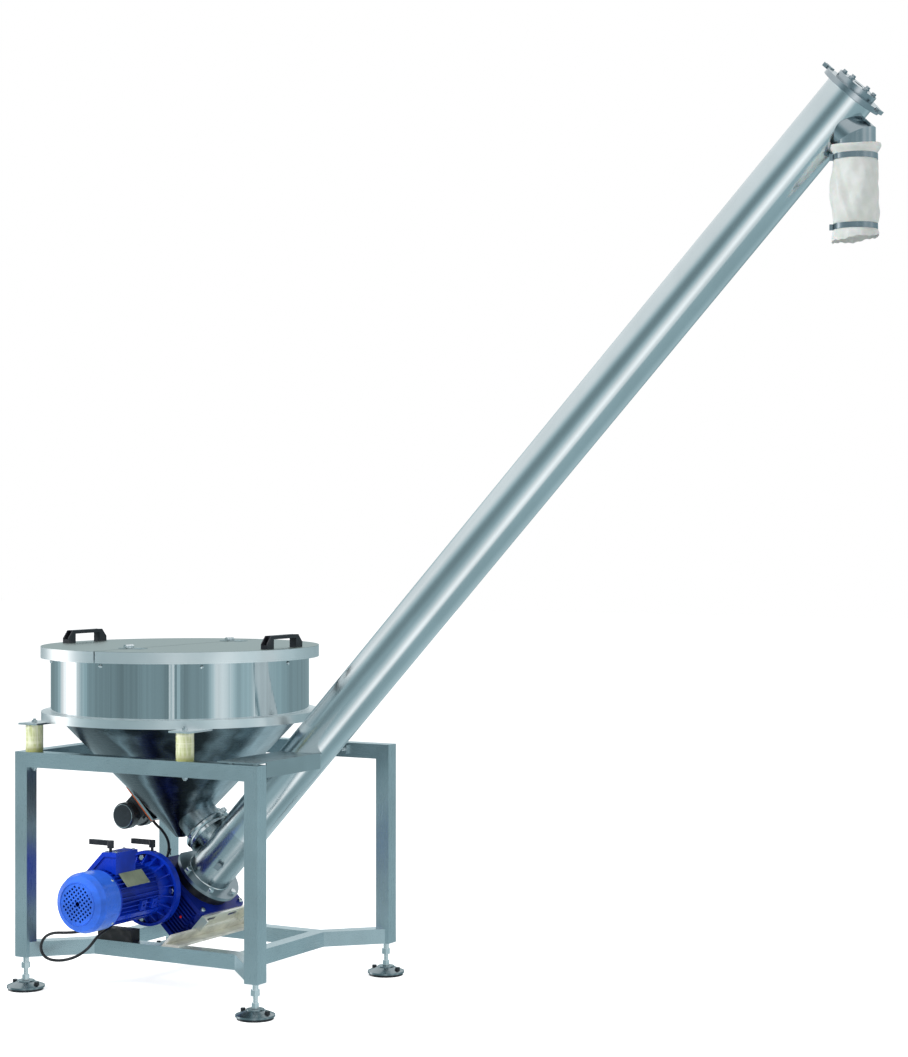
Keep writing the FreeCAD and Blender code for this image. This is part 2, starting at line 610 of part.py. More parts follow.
# The fixed leaf rests on the drum, whose edge is stepped down under the hinged leaf.
drum_wall = revolved("drum_wall", [
    ("dim.drum_radius - dim.sheet", "dim.ring_bottom + dim.ring_sheet"),
    ("dim.drum_radius", "dim.ring_bottom + dim.ring_sheet"),
    ("dim.drum_radius", "dim.lid_top - dim.sheet"),
    ("dim.drum_radius - dim.sheet", "dim.lid_top - dim.sheet"),
])
drum_step = box("drum_step", ("dim.drum_radius * 2", "dim.drum_radius * 3", "dim.lid_gap * 2"),
                ("-dim.lid_gap", "-dim.drum_radius * 1.5", DRUM_TOP))
node(place(cut("drum_body", drum_wall, drum_step), HOPPER), "hopper_drum")

RING_RADIUS = "(dim.drum_radius + dim.ring_overhang)"
RING_INNER = "(%s - dim.sheet * sqrt(2))" % CONE_TOP
ring = revolved("hopper_ring_section", [
    ("dim.drum_radius + dim.round_fit", "dim.drum_bottom - dim.ring_sheet"),
    (RING_RADIUS + " - dim.ring_sheet", "dim.drum_bottom - dim.ring_sheet"),
    (RING_RADIUS + " - dim.ring_sheet", "dim.ring_bottom + dim.ring_sheet"),
    (RING_INNER, "dim.ring_bottom + dim.ring_sheet"),
    (RING_INNER, "dim.ring_bottom"),
    (RING_RADIUS, "dim.ring_bottom"),
    (RING_RADIUS, "dim.drum_bottom"),
    ("dim.drum_radius + dim.round_fit", "dim.drum_bottom"),
])

TAB_LENGTH = "(dim.tab_reach + dim.mount_radius + dim.tab_edge)"
MOUNT_LINE = "((%s - dim.leg_width) / 2)" % STAND_WIDTH
TAB_INNER = "(%s - dim.tab_reach)" % MOUNT_LINE


def tabs():
    """Four tabs under the ring that carry the hopper on its rubber mounts."""
    made = []
    for index, (x_side, y_side) in enumerate(((-1, -1), (1, -1), (1, 1), (-1, 1))):
        plate = box("tab_plate_%d" % index, ("dim.tab_width", TAB_LENGTH, "dim.tab_sheet"),
                    ("%d * dim.mount_spread - dim.tab_width / 2" % x_side,
                     TAB_INNER if y_side > 0 else "-%s - %s" % (TAB_INNER, TAB_LENGTH),
                     "dim.ring_bottom - dim.tab_sheet"))
        hole = rod("tab_hole_%d" % index, MOUNT_HOLE, "dim.tab_sheet * 3",
                   ("%d * dim.mount_spread" % x_side,
                    "%d * %s" % (y_side, MOUNT_LINE),
                    "dim.ring_bottom - dim.tab_sheet * 2"))
        made.append(cut("tab_%d" % index, plate, hole))
    return made


# The tabs stop at the cone, which passes between them.
cone_space = cone("tab_cone_space", CONE_TOP + " - dim.leg_width", CONE_TOP, "dim.leg_width",
                  (0, 0, "dim.ring_bottom - dim.leg_width"))
tab_set = cut("tabs_trimmed", fuse("tabs_all", *tabs()), cone_space)
node(place(fuse("hopper_ring", ring, tab_set), HOPPER), "hopper_ring")

# Neck frame: +X of the drive frame points down to the right, square to the tube's axis.
DRIVE_TURN = Rotation(Vector(0, 1, 0), 43.05)


def on_drive(thing):
    """Place a piece that is built with the tube's axis as its Z axis."""
    thing.Placement = Placement(Vector(number("dim.foot_x"), 0, number("dim.foot_z")), DRIVE_TURN)
    bind(thing, Placement__Base__x="dim.foot_x", Placement__Base__z="dim.foot_z",
         Placement__Rotation__Angle="90 - dim.climb")
    return thing


def neck_rod(name, radius, start, end):
    """Rod along the neck's axis, in the drive frame, from start to end before the tube's axis."""
    return rod(name, radius, "(%s) - (%s)" % (end, start),
               ("-(%s)" % end, 0, "dim.neck_foot"), "x")


outer_cone = cone("cone_outside", "dim.tip_radius", CONE_TOP, CONE_DROP, (0, 0, "dim.cone_tip_bottom"))
inner_cone = cone("cone_inside", "dim.tip_radius - dim.sheet", CONE_TOP + " - dim.sheet * sqrt(2)", CONE_DROP,
                  (0, 0, "dim.cone_tip_bottom + dim.sheet"))
cone_shell = cut("cone_sheet", outer_cone, inner_cone)
NECK_BORE = "dim.neck_radius - dim.neck_wall"
CLAMP_LOW = "dim.clamp_along - dim.clamp_width / 2"
CLAMP_HIGH = "dim.clamp_along + dim.clamp_width / 2"
NECK_TOP = "dim.clamp_along + dim.neck_inside"


def hopper_rod(name, radius, start, end):
    """Rod along the neck's axis, placed in the stand's frame less the hopper's offset."""
    wrapped = wrap(name + "_placed", neck_rod(name, radius, start, end))
    on_drive(wrapped)
    bind(wrapped, Placement__Base__x="dim.foot_x - dim.hopper_x")
    return wrapped


outlet_bore = hopper_rod("outlet_bore", NECK_BORE, CLAMP_LOW, NECK_TOP)
cone_body = cut("cone_with_outlet", cone_shell, outlet_bore)
node(place(cone_body, HOPPER), "hopper_cone")

neck_tube = cut("neck_tube", hopper_rod("neck_outside", "dim.neck_radius", "dim.clamp_along + 1", NECK_TOP),
                hopper_rod("neck_bore", NECK_BORE, CLAMP_LOW, "dim.clamp_along + dim.neck_inside * 2"))
neck_body = cut("neck_trimmed", neck_tube, cone("neck_cone_space", "dim.tip_radius", CONE_TOP, CONE_DROP,
                                                (0, 0, "dim.cone_tip_bottom")))
node(place(neck_body, HOPPER), "hopper_neck")


LID_RADIUS = "(dim.drum_radius + dim.lid_overhang)"


def lid_half(label, x_side):
    """Half of the lid: flat top, rim all round and a straight edge along the seam."""
    cap = revolved(label + "_cap", [
        (0, "dim.lid_top - dim.sheet"),
        (LID_RADIUS + " - dim.sheet", "dim.lid_top - dim.sheet"),
        (LID_RADIUS + " - dim.sheet", "dim.lid_top - dim.lid_rim"),
        (LID_RADIUS, "dim.lid_top - dim.lid_rim"),
        (LID_RADIUS, "dim.lid_top"),
        (0, "dim.lid_top"),
    ])
    start_x = "dim.lid_gap / 2" if x_side > 0 else "-dim.lid_gap / 2 - 2 * " + LID_RADIUS
    half = box(label + "_half", ("2 * " + LID_RADIUS, "4 * " + LID_RADIUS, "dim.lid_rim * 3"),
               (start_x, "-2 * " + LID_RADIUS, "dim.lid_top - dim.lid_rim * 2"))
    return node(place(common(label, cap, half), HOPPER), label)


lid_half("lid_fixed_leaf", -1)
lid_half("lid_hinged_leaf", 1)


def rubber_mount(label, x_side, y_side):
    """Rubber buffer between the top rail and a tab, with its stud and two nuts."""
    low = "dim.stand_top"
    high = "dim.ring_bottom - dim.tab_sheet"
    stud_low = "dim.stand_top - dim.leg_width - dim.nut_height - dim.stud_spare"
    buffer = rod(label + "_buffer", "dim.mount_radius", high + " - dim.stand_top", (0, 0, low))
    stud_high = "dim.ring_bottom + dim.nut_height + dim.stud_spare"
    stud = rod(label + "_stud", "dim.mount_bolt_radius", "%s - (%s)" % (stud_high, stud_low),
               (0, 0, stud_low))
    top_nut = hexagon(label + "_top_nut", "dim.mount_nut_flat", "dim.nut_height", (0, 0, "dim.ring_bottom"))
    low_nut = hexagon(label + "_low_nut", "dim.mount_nut_flat", "dim.nut_height",
                      (0, 0, "dim.stand_top - dim.leg_width - dim.nut_height"))
    whole = fuse(label, buffer, stud, top_nut, low_nut)
    place(whole, ("dim.hopper_x + %d * dim.mount_spread" % x_side, MOUNT_Y[y_side], 0))
    return node(whole, label)


rubber_mount("mount_front_left", -1, -1)
rubber_mount("mount_front_right", 1, -1)
rubber_mount("mount_back_right", 1, 1)
rubber_mount("mount_back_left", -1, 1)


def lid_handle(label, x_side):
    """Bridge handle across the lid near its edge, with slanted ends that are hollowed out."""
    half = "dim.handle_length / 2"
    under = "dim.handle_height - dim.handle_bar"
    body = doc.addObject("PartDesign::Body", label + "_body")
    sketch = outline(body, label + "_outline", [
        ("-" + half, 0),
        ("dim.handle_foot - " + half, 0),
        ("dim.handle_foot - " + half, under),
        (half + " - dim.handle_foot", under),
        (half + " - dim.handle_foot", 0),
        (half, 0),
        (half, "dim.handle_shoulder"),
        (half + " - dim.handle_slant", "dim.handle_height"),
        ("dim.handle_slant - " + half, "dim.handle_height"),
        ("-" + half, "dim.handle_shoulder"),
    ], "YZ_Plane")
    pad = body.newObject("PartDesign::Pad", label + "_pad")
    pad.Profile = sketch
    pad.Midplane = True
    bind(pad, Length="dim.handle_width")
    hollow_size = ("dim.handle_width - 2 * dim.handle_wall", "dim.handle_foot", "dim.handle_height")
    hollows = [box("%s_hollow_%d" % (label, index), hollow_size,
                   ("dim.handle_wall - dim.handle_width / 2",
                    "%d * (%s - dim.handle_wall * 3) - dim.handle_foot / 2" % (side, half),
                    "dim.handle_shoulder - dim.handle_wall"))
               for index, side in enumerate((-1, 1))]
    whole = cut(label, body, *hollows)
    place(whole, ("dim.hopper_x + %d * dim.handle_offset" % x_side, 0, "dim.lid_top"))
    return node(whole, label)


lid_handle("lid_handle_left", -1)
lid_handle("lid_handle_right", 1)


def hinge_strap(label, x_side, knuckles):
    """Two straps screwed to one leaf, with knuckles round the pins over the seam."""
    made = []
    for index, y_side in enumerate((-1, 1)):
        middle = "%d * dim.hinge_offset" % y_side
        length = "dim.hinge_long" if x_side > 0 else "dim.hinge_short"
        strap = box("%s_plate_%d" % (label, index),
                    ("%s - dim.hinge_eye" % length, "dim.hinge_width", "dim.hinge_sheet"),
                    ("dim.hinge_eye" if x_side > 0 else "-(%s)" % length,
                     middle + " - dim.hinge_width / 2", 0))
        pieces = [strap]
        for count, (start, end) in enumerate(knuckles):
            at_y = "%s + (%s) * dim.hinge_width" % (middle, start)
            width = "(%s - (%s)) * dim.hinge_width" % (end, start)
            eye = rod("%s_eye_%d_%d" % (label, index, count), "dim.hinge_eye", width,
                      (0, at_y, "dim.hinge_eye"), "y")
            lug = box("%s_lug_%d_%d" % (label, index, count),
                      ("dim.hinge_eye + dim.pin_head", width, "dim.hinge_sheet"),
                      ("0" if x_side > 0 else "-dim.hinge_eye - dim.pin_head", at_y, 0))
            pieces += [eye, lug]
        body = fuse("%s_body_%d" % (label, index), *pieces)
        bore = rod("%s_bore_%d" % (label, index), "dim.hinge_pin + dim.hole_play", "dim.hinge_width * 2",
                   (0, middle + " - dim.hinge_width", "dim.hinge_eye"), "y")
        if x_side > 0:
            made.append(cut("%s_bored_%d" % (label, index), body, bore))
        else:
            pin = rod("%s_pin_%d" % (label, index), "dim.hinge_pin", "dim.hinge_width + 2 * dim.pin_head",
                      (0, middle + " - dim.hinge_width / 2 - dim.pin_head", "dim.hinge_eye"), "y")
            made.append(fuse("%s_pinned_%d" % (label, index), body, pin))
    whole = wrap(label, *made)
    place(whole, ("dim.hopper_x", 0, "dim.lid_top"))
    return node(whole, label)


hinge_strap("lid_hinge_fixed", -1, [("-0.5", "-0.2"), ("0.2", "0.5")])
hinge_strap("lid_hinge_moving", 1, [("-0.18", "0.18")])


# Climbing tube with its inlet stub, flanges, screw and spout. They are built with the
# tube's axis as their Z axis and then set at the climb angle.

TUBE_BORE = "dim.auger_radius - dim.auger_wall"
FLANGE_BORE = "dim.auger_radius + dim.round_fit"
STUB_BORE = "dim.stub_radius - dim.neck_wall"
BRANCH_BORE = "dim.spout_radius - dim.spout_wall"

UPPER_LENGTH = "dim.auger_length - dim.inlet_length"
auger_tube = cut("auger_tube_body",
                 rod("auger_outside", "dim.auger_radius", UPPER_LENGTH, (0, 0, "dim.inlet_length")),
                 rod("auger_bore", TUBE_BORE, "dim.auger_length * 2"),
                 rod("auger_outlet", BRANCH_BORE, "dim.auger_radius * 2", (0, 0, "dim.spout_along"), "x"))
node(on_drive(auger_tube), "auger_tube")

# The tube's foot section stands in the lower flange and is one welded piece with the stub.
FOOT_START = (0, 0, "-dim.foot_flange_sheet")
FOOT_LENGTH = "dim.inlet_length + dim.foot_flange_sheet"
stub_pieces = fuse("stub_pieces",
                   rod("foot_outside", "dim.auger_radius", FOOT_LENGTH, FOOT_START),
                   neck_rod("stub_outside", "dim.stub_radius", 0, CLAMP_LOW))
stub = cut("stub_body", stub_pieces, rod("foot_bore", TUBE_BORE, "dim.auger_length", FOOT_START),
           neck_rod("stub_bore", STUB_BORE, 0, "dim.clamp_along * 2"))
node(on_drive(stub), "inlet_stub")

CLAMP_BULGE = "(dim.clamp_radius - dim.clamp_round)"
clamp_section = revolved("clamp_section", [
    (STUB_BORE, CLAMP_LOW),
    (CLAMP_BULGE, CLAMP_LOW),
    ("dim.clamp_radius", CLAMP_LOW + " + dim.clamp_round"),
    ("dim.clamp_radius", CLAMP_HIGH + " - dim.clamp_round"),
    (CLAMP_BULGE, CLAMP_HIGH),
    ("dim.neck_radius + dim.round_fit", CLAMP_HIGH),
    ("dim.neck_radius + dim.round_fit", "dim.clamp_along + 1"),
    (STUB_BORE, "dim.clamp_along + 1"),
])
clamp_ring = revolved("clamp_ring_section", [
    ("dim.stub_radius + dim.round_fit", CLAMP_LOW + " - dim.clamp_ring"),
    ("dim.clamp_radius - 2", CLAMP_LOW + " - dim.clamp_ring"),
    ("dim.clamp_radius - 2", CLAMP_LOW + " - dim.clamp_ring / 3"),
    (CLAMP_BULGE, CLAMP_LOW + " - dim.clamp_ring / 3"),
    (CLAMP_BULGE, CLAMP_LOW),
    ("dim.stub_radius + dim.round_fit", CLAMP_LOW),
])
# Closure: two lugs with a gap between them, an eye bolt and a wing nut, on the upper side.
LUG_X = "dim.clamp_radius - dim.clamp_round"
LUG_LOW = "dim.clamp_along - dim.clamp_width / 3"
LUG_OUTSIDE = "(dim.clamp_gap / 2 + dim.clamp_lug_sheet)"
BOLT_X = LUG_X + " + dim.clamp_lug * 0.6"
clamp_lugs = [box("clamp_lug_%d" % index, ("dim.clamp_lug", "dim.clamp_lug_sheet", "dim.clamp_width / 1.5"),
                  (LUG_X, start, LUG_LOW))
              for index, start in enumerate(("dim.clamp_gap / 2", "-" + LUG_OUTSIDE))]
clamp_bolt = rod("clamp_bolt", "dim.clamp_bolt", "dim.clamp_bolt_length",
                 (BOLT_X, "-dim.clamp_bolt_length * 0.7", "dim.clamp_along"), "y")
wing_hub = rod("clamp_wing_hub", "dim.clamp_bolt * 1.8", "dim.clamp_wing",
               (BOLT_X, "-%s - dim.clamp_wing" % LUG_OUTSIDE, "dim.clamp_along"), "y")
wings = box("clamp_wings", ("dim.clamp_bolt", "dim.clamp_wing * 1.6", "dim.clamp_wing * 3"),
            (BOLT_X + " - dim.clamp_bolt / 2", "-%s - dim.clamp_wing * 1.6" % LUG_OUTSIDE,
             "dim.clamp_along - dim.clamp_wing * 1.5"))
clamp_gap = box("clamp_gap_space", ("dim.clamp_radius", "dim.clamp_gap", "dim.clamp_width * 4"),
                ("dim.neck_radius + dim.round_fit * 2", "-dim.clamp_gap / 2",
                 "dim.clamp_along - dim.clamp_width * 2"))
clamp_band = cut("clamp_band", fuse("clamp_rings", clamp_section, clamp_ring, *clamp_lugs), clamp_gap)
clamp_turned = fuse("clamp_turned", clamp_band, clamp_bolt, wing_hub, wings)
clamp_turned.Placement = Placement(Vector(0, 0, 0), Rotation(Vector(0, 1, 0), -90))
clamp_turned.setExpression("Placement.Base.z", "dim.neck_foot")
node(on_drive(wrap("clamp_placed", clamp_turned)), "neck_clamp")

foot_disc = revolved("foot_flange_section", [
    (FLANGE_BORE, "-dim.foot_flange_sheet"),
    ("dim.foot_flange_radius", "-dim.foot_flange_sheet"),
    ("dim.foot_flange_radius", 0),
    (FLANGE_BORE, 0),
])
flat_space = box("foot_flange_flat_space",
                 ("dim.foot_flange_radius", "dim.foot_flange_radius * 3", "dim.foot_flange_sheet * 3"),
                 ("-dim.foot_flange_flat - dim.foot_flange_radius", "-dim.foot_flange_radius * 1.5",
                  "-dim.foot_flange_sheet * 2"))
node(on_drive(cut("foot_flange_body", foot_disc, flat_space)), "foot_flange")

SEAL_BOTTOM = "-(dim.foot_flange_sheet + dim.seal_height)"
seal = revolved("seal_section", [
    ("dim.shaft_radius + dim.shaft_play", SEAL_BOTTOM),
    ("dim.seal_radius", SEAL_BOTTOM),
    ("dim.seal_radius", "-dim.foot_flange_sheet"),
    ("dim.shaft_radius + dim.shaft_play", "-dim.foot_flange_sheet"),
])
node(on_drive(seal), "shaft_seal")

HEAD = "dim.auger_length"
head_section = revolved("head_section", [
    ("dim.journal_radius + dim.round_fit", HEAD),
    ("dim.head_flange_radius", HEAD),
    ("dim.head_flange_radius", HEAD + " + dim.head_flange_sheet"),
    ("dim.bearing_radius", HEAD + " + dim.head_flange_sheet"),
    ("dim.bearing_radius", HEAD + " + dim.head_flange_sheet + dim.bearing_height"),
    ("dim.journal_radius + dim.round_fit", HEAD + " + dim.head_flange_sheet + dim.bearing_height"),
])
FORK_REACH = "(dim.head_flange_radius + dim.fork_length)"
fork_plate = box("head_fork_plate", ("dim.fork_length + dim.fork_seat", "dim.fork_width", "dim.fork_sheet"),
                 ("-" + FORK_REACH, "-dim.fork_width / 2", HEAD))
fork_slot = box("head_fork_slot", ("dim.fork_length", "dim.fork_slot", "dim.fork_sheet * 3"),
                ("-%s - dim.fork_seat" % FORK_REACH, "-dim.fork_slot / 2", HEAD + " - dim.fork_sheet"))
head_lug = box("head_lug", ("dim.lug_length + dim.fork_seat", "dim.fork_width", "dim.fork_sheet"),
               ("dim.head_flange_radius - dim.fork_seat", "-dim.fork_width / 2", HEAD))
lug_hole = rod("head_lug_hole", "dim.lug_hole", "dim.fork_width * 2",
               ("dim.head_flange_radius + dim.lug_length / 2", "-dim.fork_width",
                HEAD + " + dim.fork_sheet / 2"), "y")
head_pieces = fuse("head_pieces", head_section, fork_plate, head_lug)
node(on_drive(cut("head_body", head_pieces, fork_slot, lug_hole)), "head_cover")

head_ring = revolved("head_ring_section", [
    (FLANGE_BORE, HEAD + " - dim.head_flange_sheet"),
    ("dim.head_flange_radius", HEAD + " - dim.head_flange_sheet"),
    ("dim.head_flange_radius", HEAD),
    (FLANGE_BORE, HEAD),
])
node(on_drive(head_ring), "head_flange")


def screw(label):
    """Core tube of the screw with its two journals; the flight inside the closed tube is left out."""
    core_length = "(dim.auger_length + dim.core_start - dim.core_end)"
    core = rod(label + "_core", "dim.shaft_radius", core_length, (0, 0, "-dim.core_start"))
    hollow = rod(label + "_hollow", "dim.shaft_radius - dim.shaft_wall", core_length + " - 2 * dim.core_cap",
                 (0, 0, "dim.core_cap - dim.core_start"))
    tube = cut(label + "_tube", core, hollow)
    low_journal = rod(label + "_low_journal", "dim.journal_radius", "-(%s)" % SEAL_BOTTOM,
                      (0, 0, SEAL_BOTTOM))
    high_journal = rod(label + "_high_journal", "dim.journal_radius", "dim.core_end + dim.head_flange_sheet",
                       (0, 0, "dim.auger_length - dim.core_end"))
    return node(on_drive(fuse(label, tube, low_journal, high_journal)), label)


screw("auger_screw")


def across_tube(along, across):
    """World X and Z of a point in the tube's plane, as formulas."""
    return ("(dim.foot_x + cos(dim.climb) * (%s) + sin(dim.climb) * (%s))" % (along, across),
            "(dim.foot_z + sin(dim.climb) * (%s) - cos(dim.climb) * (%s))" % (along, across))


SPOUT_X, ELBOW_Z = across_tube("dim.spout_along", "dim.branch_length")
MITRE = "((180 - dim.climb) / 2)"


def mitre_space(name, side):
    """Large cube on one side of the mitre between branch and spout."""
    start = "0" if side > 0 else "-2 * %d" % REACH
    thing = box(name, (2 * REACH, 2 * REACH, 2 * REACH), (start, -REACH, -REACH))
    wrapped = wrap(name + "_placed", thing)
    wrapped.Placement = Placement(Vector(number(SPOUT_X), 0, number(ELBOW_Z)),
                                  Rotation(Vector(0, 1, 0), number(MITRE)))
    bind(wrapped, Placement__Base__x=SPOUT_X, Placement__Base__z=ELBOW_Z, Placement__Rotation__Angle=MITRE)
    return wrapped


def branch_rod(name, radius):
    straight = rod(name, radius, "dim.branch_length * 3", (0, 0, "dim.spout_along"), "x")
    return on_drive(wrap(name + "_placed", straight))


def drop_rod(name, radius, end):
    return rod(name, radius, "%s + dim.branch_length" % end, (SPOUT_X, 0, "%s - %s" % (ELBOW_Z, end)))


def spout(label):
    branch = cut(label + "_branch", branch_rod(label + "_branch_outside", "dim.spout_radius"),
                 branch_rod(label + "_branch_bore", BRANCH_BORE), mitre_space(label + "_beyond", 1))
    drop = cut(label + "_drop", drop_rod(label + "_drop_outside", "dim.spout_radius", "dim.spout_drop"),
               drop_rod(label + "_drop_bore", BRANCH_BORE, "(dim.spout_drop * 2)"),
               mitre_space(label + "_before", -1))
    tube_space = on_drive(wrap(label + "_tube_space",
                               rod(label + "_tube", "dim.auger_radius + dim.spout_fit", "dim.auger_length")))
    return node(cut(label, fuse(label + "_elbow", branch, drop), tube_space), label)


spout("discharge_spout")

bag = revolved("bag_section", [
    ("dim.bag_radius - dim.bag_wall", "-dim.bag_start - dim.bag_length + dim.cuff_length"),
    ("dim.cuff_radius", "-dim.bag_start - dim.bag_length + dim.cuff_length"),
    ("dim.cuff_radius", "-dim.bag_start - dim.bag_length"),
    ("dim.bag_radius", "-dim.bag_start - dim.bag_length"),
    ("dim.bag_radius", "-dim.bag_start"),
    ("dim.bag_radius - dim.bag_wall", "-dim.bag_start"),
])
node(place(bag, (SPOUT_X, 0, ELBOW_Z)), "spout_sleeve")


# Drive: gear housing under the tube, motor with its axis along Y, fan cover, terminal box.

GEAR_MIDDLE = "(%s - dim.gear_depth / 2)" % SEAL_BOTTOM
GEAR_BOTTOM = "(%s - dim.gear_depth)" % SEAL_BOTTOM


def gear_plate(name, start):
    """Square end plate with rounded corners, square to the tube's axis."""
    plates = [
        box(name + "_wide", ("dim.gear_height", "dim.gear_width - 2 * dim.gear_corner", "dim.gear_plate"),
            ("-dim.gear_height / 2", "dim.gear_corner - dim.gear_width / 2", start)),
        box(name + "_long", ("dim.gear_height - 2 * dim.gear_corner", "dim.gear_width", "dim.gear_plate"),
            ("dim.gear_corner - dim.gear_height / 2", "-dim.gear_width / 2", start)),
    ]
    corners = [rod("%s_corner_%d_%d" % (name, x_side, y_side), "dim.gear_corner", "dim.gear_plate",
                   ("%d * (dim.gear_height / 2 - dim.gear_corner)" % x_side,
                    "%d * (dim.gear_width / 2 - dim.gear_corner)" % y_side, start))
               for x_side in (-1, 1) for y_side in (-1, 1)]
    return plates + corners


def gear_housing(label):
    """Worm gear housing: a core between two end plates, ribbed on its front and back."""
    core_width = "(dim.gear_width - 2 * dim.rib_depth)"
    core = box(label + "_core", ("dim.gear_height", core_width, "dim.gear_depth"),
               ("-dim.gear_height / 2", "-%s / 2" % core_width, GEAR_BOTTOM))
    plates = gear_plate(label + "_top", "%s - dim.gear_plate" % SEAL_BOTTOM)
    plates += gear_plate(label + "_bottom", GEAR_BOTTOM)
    ribs = []
    first = "(%s - dim.rib_pitch * (dim.rib_count - 1) / 2 - dim.rib_sheet / 2)" % GEAR_MIDDLE
    for index in range(int(number("dim.rib_count"))):
        for y_side in (-1, 1):
            start_y = "-dim.gear_width / 2 + 1" if y_side < 0 else core_width + " / 2 - 1"
            ribs.append(box("%s_rib_%d_%d" % (label, index, y_side),
                            ("dim.gear_height - 2 * dim.rib_margin", "dim.rib_depth", "dim.rib_sheet"),
                            ("dim.rib_margin - dim.gear_height / 2", start_y,
                             "%s + %d * dim.rib_pitch" % (first, index))))
    neck = rod(label + "_neck", "dim.motor_neck_radius", "dim.motor_neck + dim.rib_depth",
               ("-dim.input_offset", "-dim.motor_neck - dim.gear_width / 2", GEAR_MIDDLE), "y")
    back_cover = rod(label + "_back_cover", "dim.bearing_cover", "dim.rib_depth + dim.gear_plate / 2",
                     ("-dim.input_offset / 2", core_width + " / 2 - 1", GEAR_MIDDLE), "y")
    foot_cover = rod(label + "_foot_cover", "dim.bearing_cover", "dim.gear_plate / 2",
                     (0, 0, GEAR_BOTTOM + " - dim.gear_plate / 2"))
    whole = fuse(label + "_whole", core, neck, back_cover, foot_cover, *plates, *ribs)
    pockets = [box("%s_pocket_%d" % (label, index), ("dim.pocket_size", "dim.rib_depth", "dim.pocket_size"),
                   ("dim.gear_height / 2 - dim.pocket_edge - dim.pocket_size",
                    "dim.rib_depth / 2 - dim.gear_width / 2",
                    "%s + %d * dim.pocket_pitch - dim.pocket_size / 2" % (GEAR_MIDDLE, index)))
               for index in (-1, 0, 1)]
    return node(on_drive(cut(label, whole, *pockets)), label)


gear_housing("gear_housing")

MOTOR_X, MOTOR_Z = across_tube(GEAR_MIDDLE, "-dim.input_offset")
MOTOR_FACE = "-(dim.gear_width / 2 + dim.motor_neck)"
FORWARD = Rotation(Vector(1, 0, 0), 90)


def on_motor(thing):
    """Place a piece built with the motor's axis as its Z axis, pointing to the front."""
    return place(thing, (MOTOR_X, MOTOR_FACE, MOTOR_Z), FORWARD)


COVER_START = "(dim.motor_length - dim.fan_cover_length)"


LEVER_SHIFT = "dim.terminal_right / 3"


def motor_flange(label):
    """Dished flange: rim, floor and the ribs that brace the rim against the bearing hub."""
    dish = revolved(label + "_dish", [
        (0, 0),
        ("dim.motor_flange_radius", 0),
        ("dim.motor_flange_radius", "dim.motor_flange_sheet"),
        ("dim.motor_flange_radius - dim.motor_rim", "dim.motor_flange_sheet"),
        ("dim.motor_flange_radius - dim.motor_rim", "dim.motor_dish"),
        ("dim.motor_fin_radius", "dim.motor_dish"),
        ("dim.motor_body_radius + 2", "dim.fin_start"),
        (0, "dim.fin_start"),
    ])
    ribs = []
    count = int(number("dim.flange_ribs"))
    for index in range(count):
        body = doc.addObject("PartDesign::Body", "%s_rib_%d" % (label, index))
        sketch = outline(body, "%s_rib_outline_%d" % (label, index), [
            ("dim.motor_body_radius", "dim.motor_dish - 1"),
            ("dim.motor_flange_radius - dim.motor_rim / 2", "dim.motor_dish - 1"),
            ("dim.motor_flange_radius - dim.motor_rim / 2", "dim.motor_dish + dim.flange_rib"),
            ("dim.motor_body_radius", "dim.fin_start - dim.motor_dish"),
        ])
        pad = body.newObject("PartDesign::Pad", "%s_rib_pad_%d" % (label, index))
        pad.Profile = sketch
        pad.Midplane = True
        bind(pad, Length="dim.flange_rib")
        body.Placement = Placement(Vector(0, 0, 0), Rotation(Vector(0, 0, 1), (index + 0.5) * 360 / count))
        ribs.append(body)
    seat = box(label + "_lever_seat", ("dim.lever_hub * 1.5", "dim.motor_rim", "dim.motor_flange_sheet"),
               (LEVER_SHIFT + " - dim.lever_hub * 0.75", "dim.motor_flange_radius - dim.motor_rim", 0))
    return node(on_motor(fuse(label, dish, seat, *ribs)), label)


motor_flange("motor_flange")


def foot_pad(name, start, turn):
    """Machined pad with a bolt hole on the motor's side."""
    pad = box(name + "_block", ("dim.pad_reach", "dim.pad_height", "dim.pad_width"),
              (0, "-dim.pad_height / 2", start))
    hole = rod(name + "_hole", "dim.pad_bolt", "dim.motor_body_radius / 2",
               ("dim.pad_reach - dim.motor_body_radius / 4", 0, start + " + dim.pad_width / 2"), "x")
    holder = wrap(name, cut(name + "_bored", pad, hole))
    holder.Placement = Placement(Vector(0, 0, 0), Rotation(Vector(0, 0, 1), turn))
    return holder


FIN_LENGTH = "(%s - dim.shield_step - dim.fin_start)" % COVER_START
PAD_TURNS = (-17, -163)
RAIL_TURNS = (-36, -144)


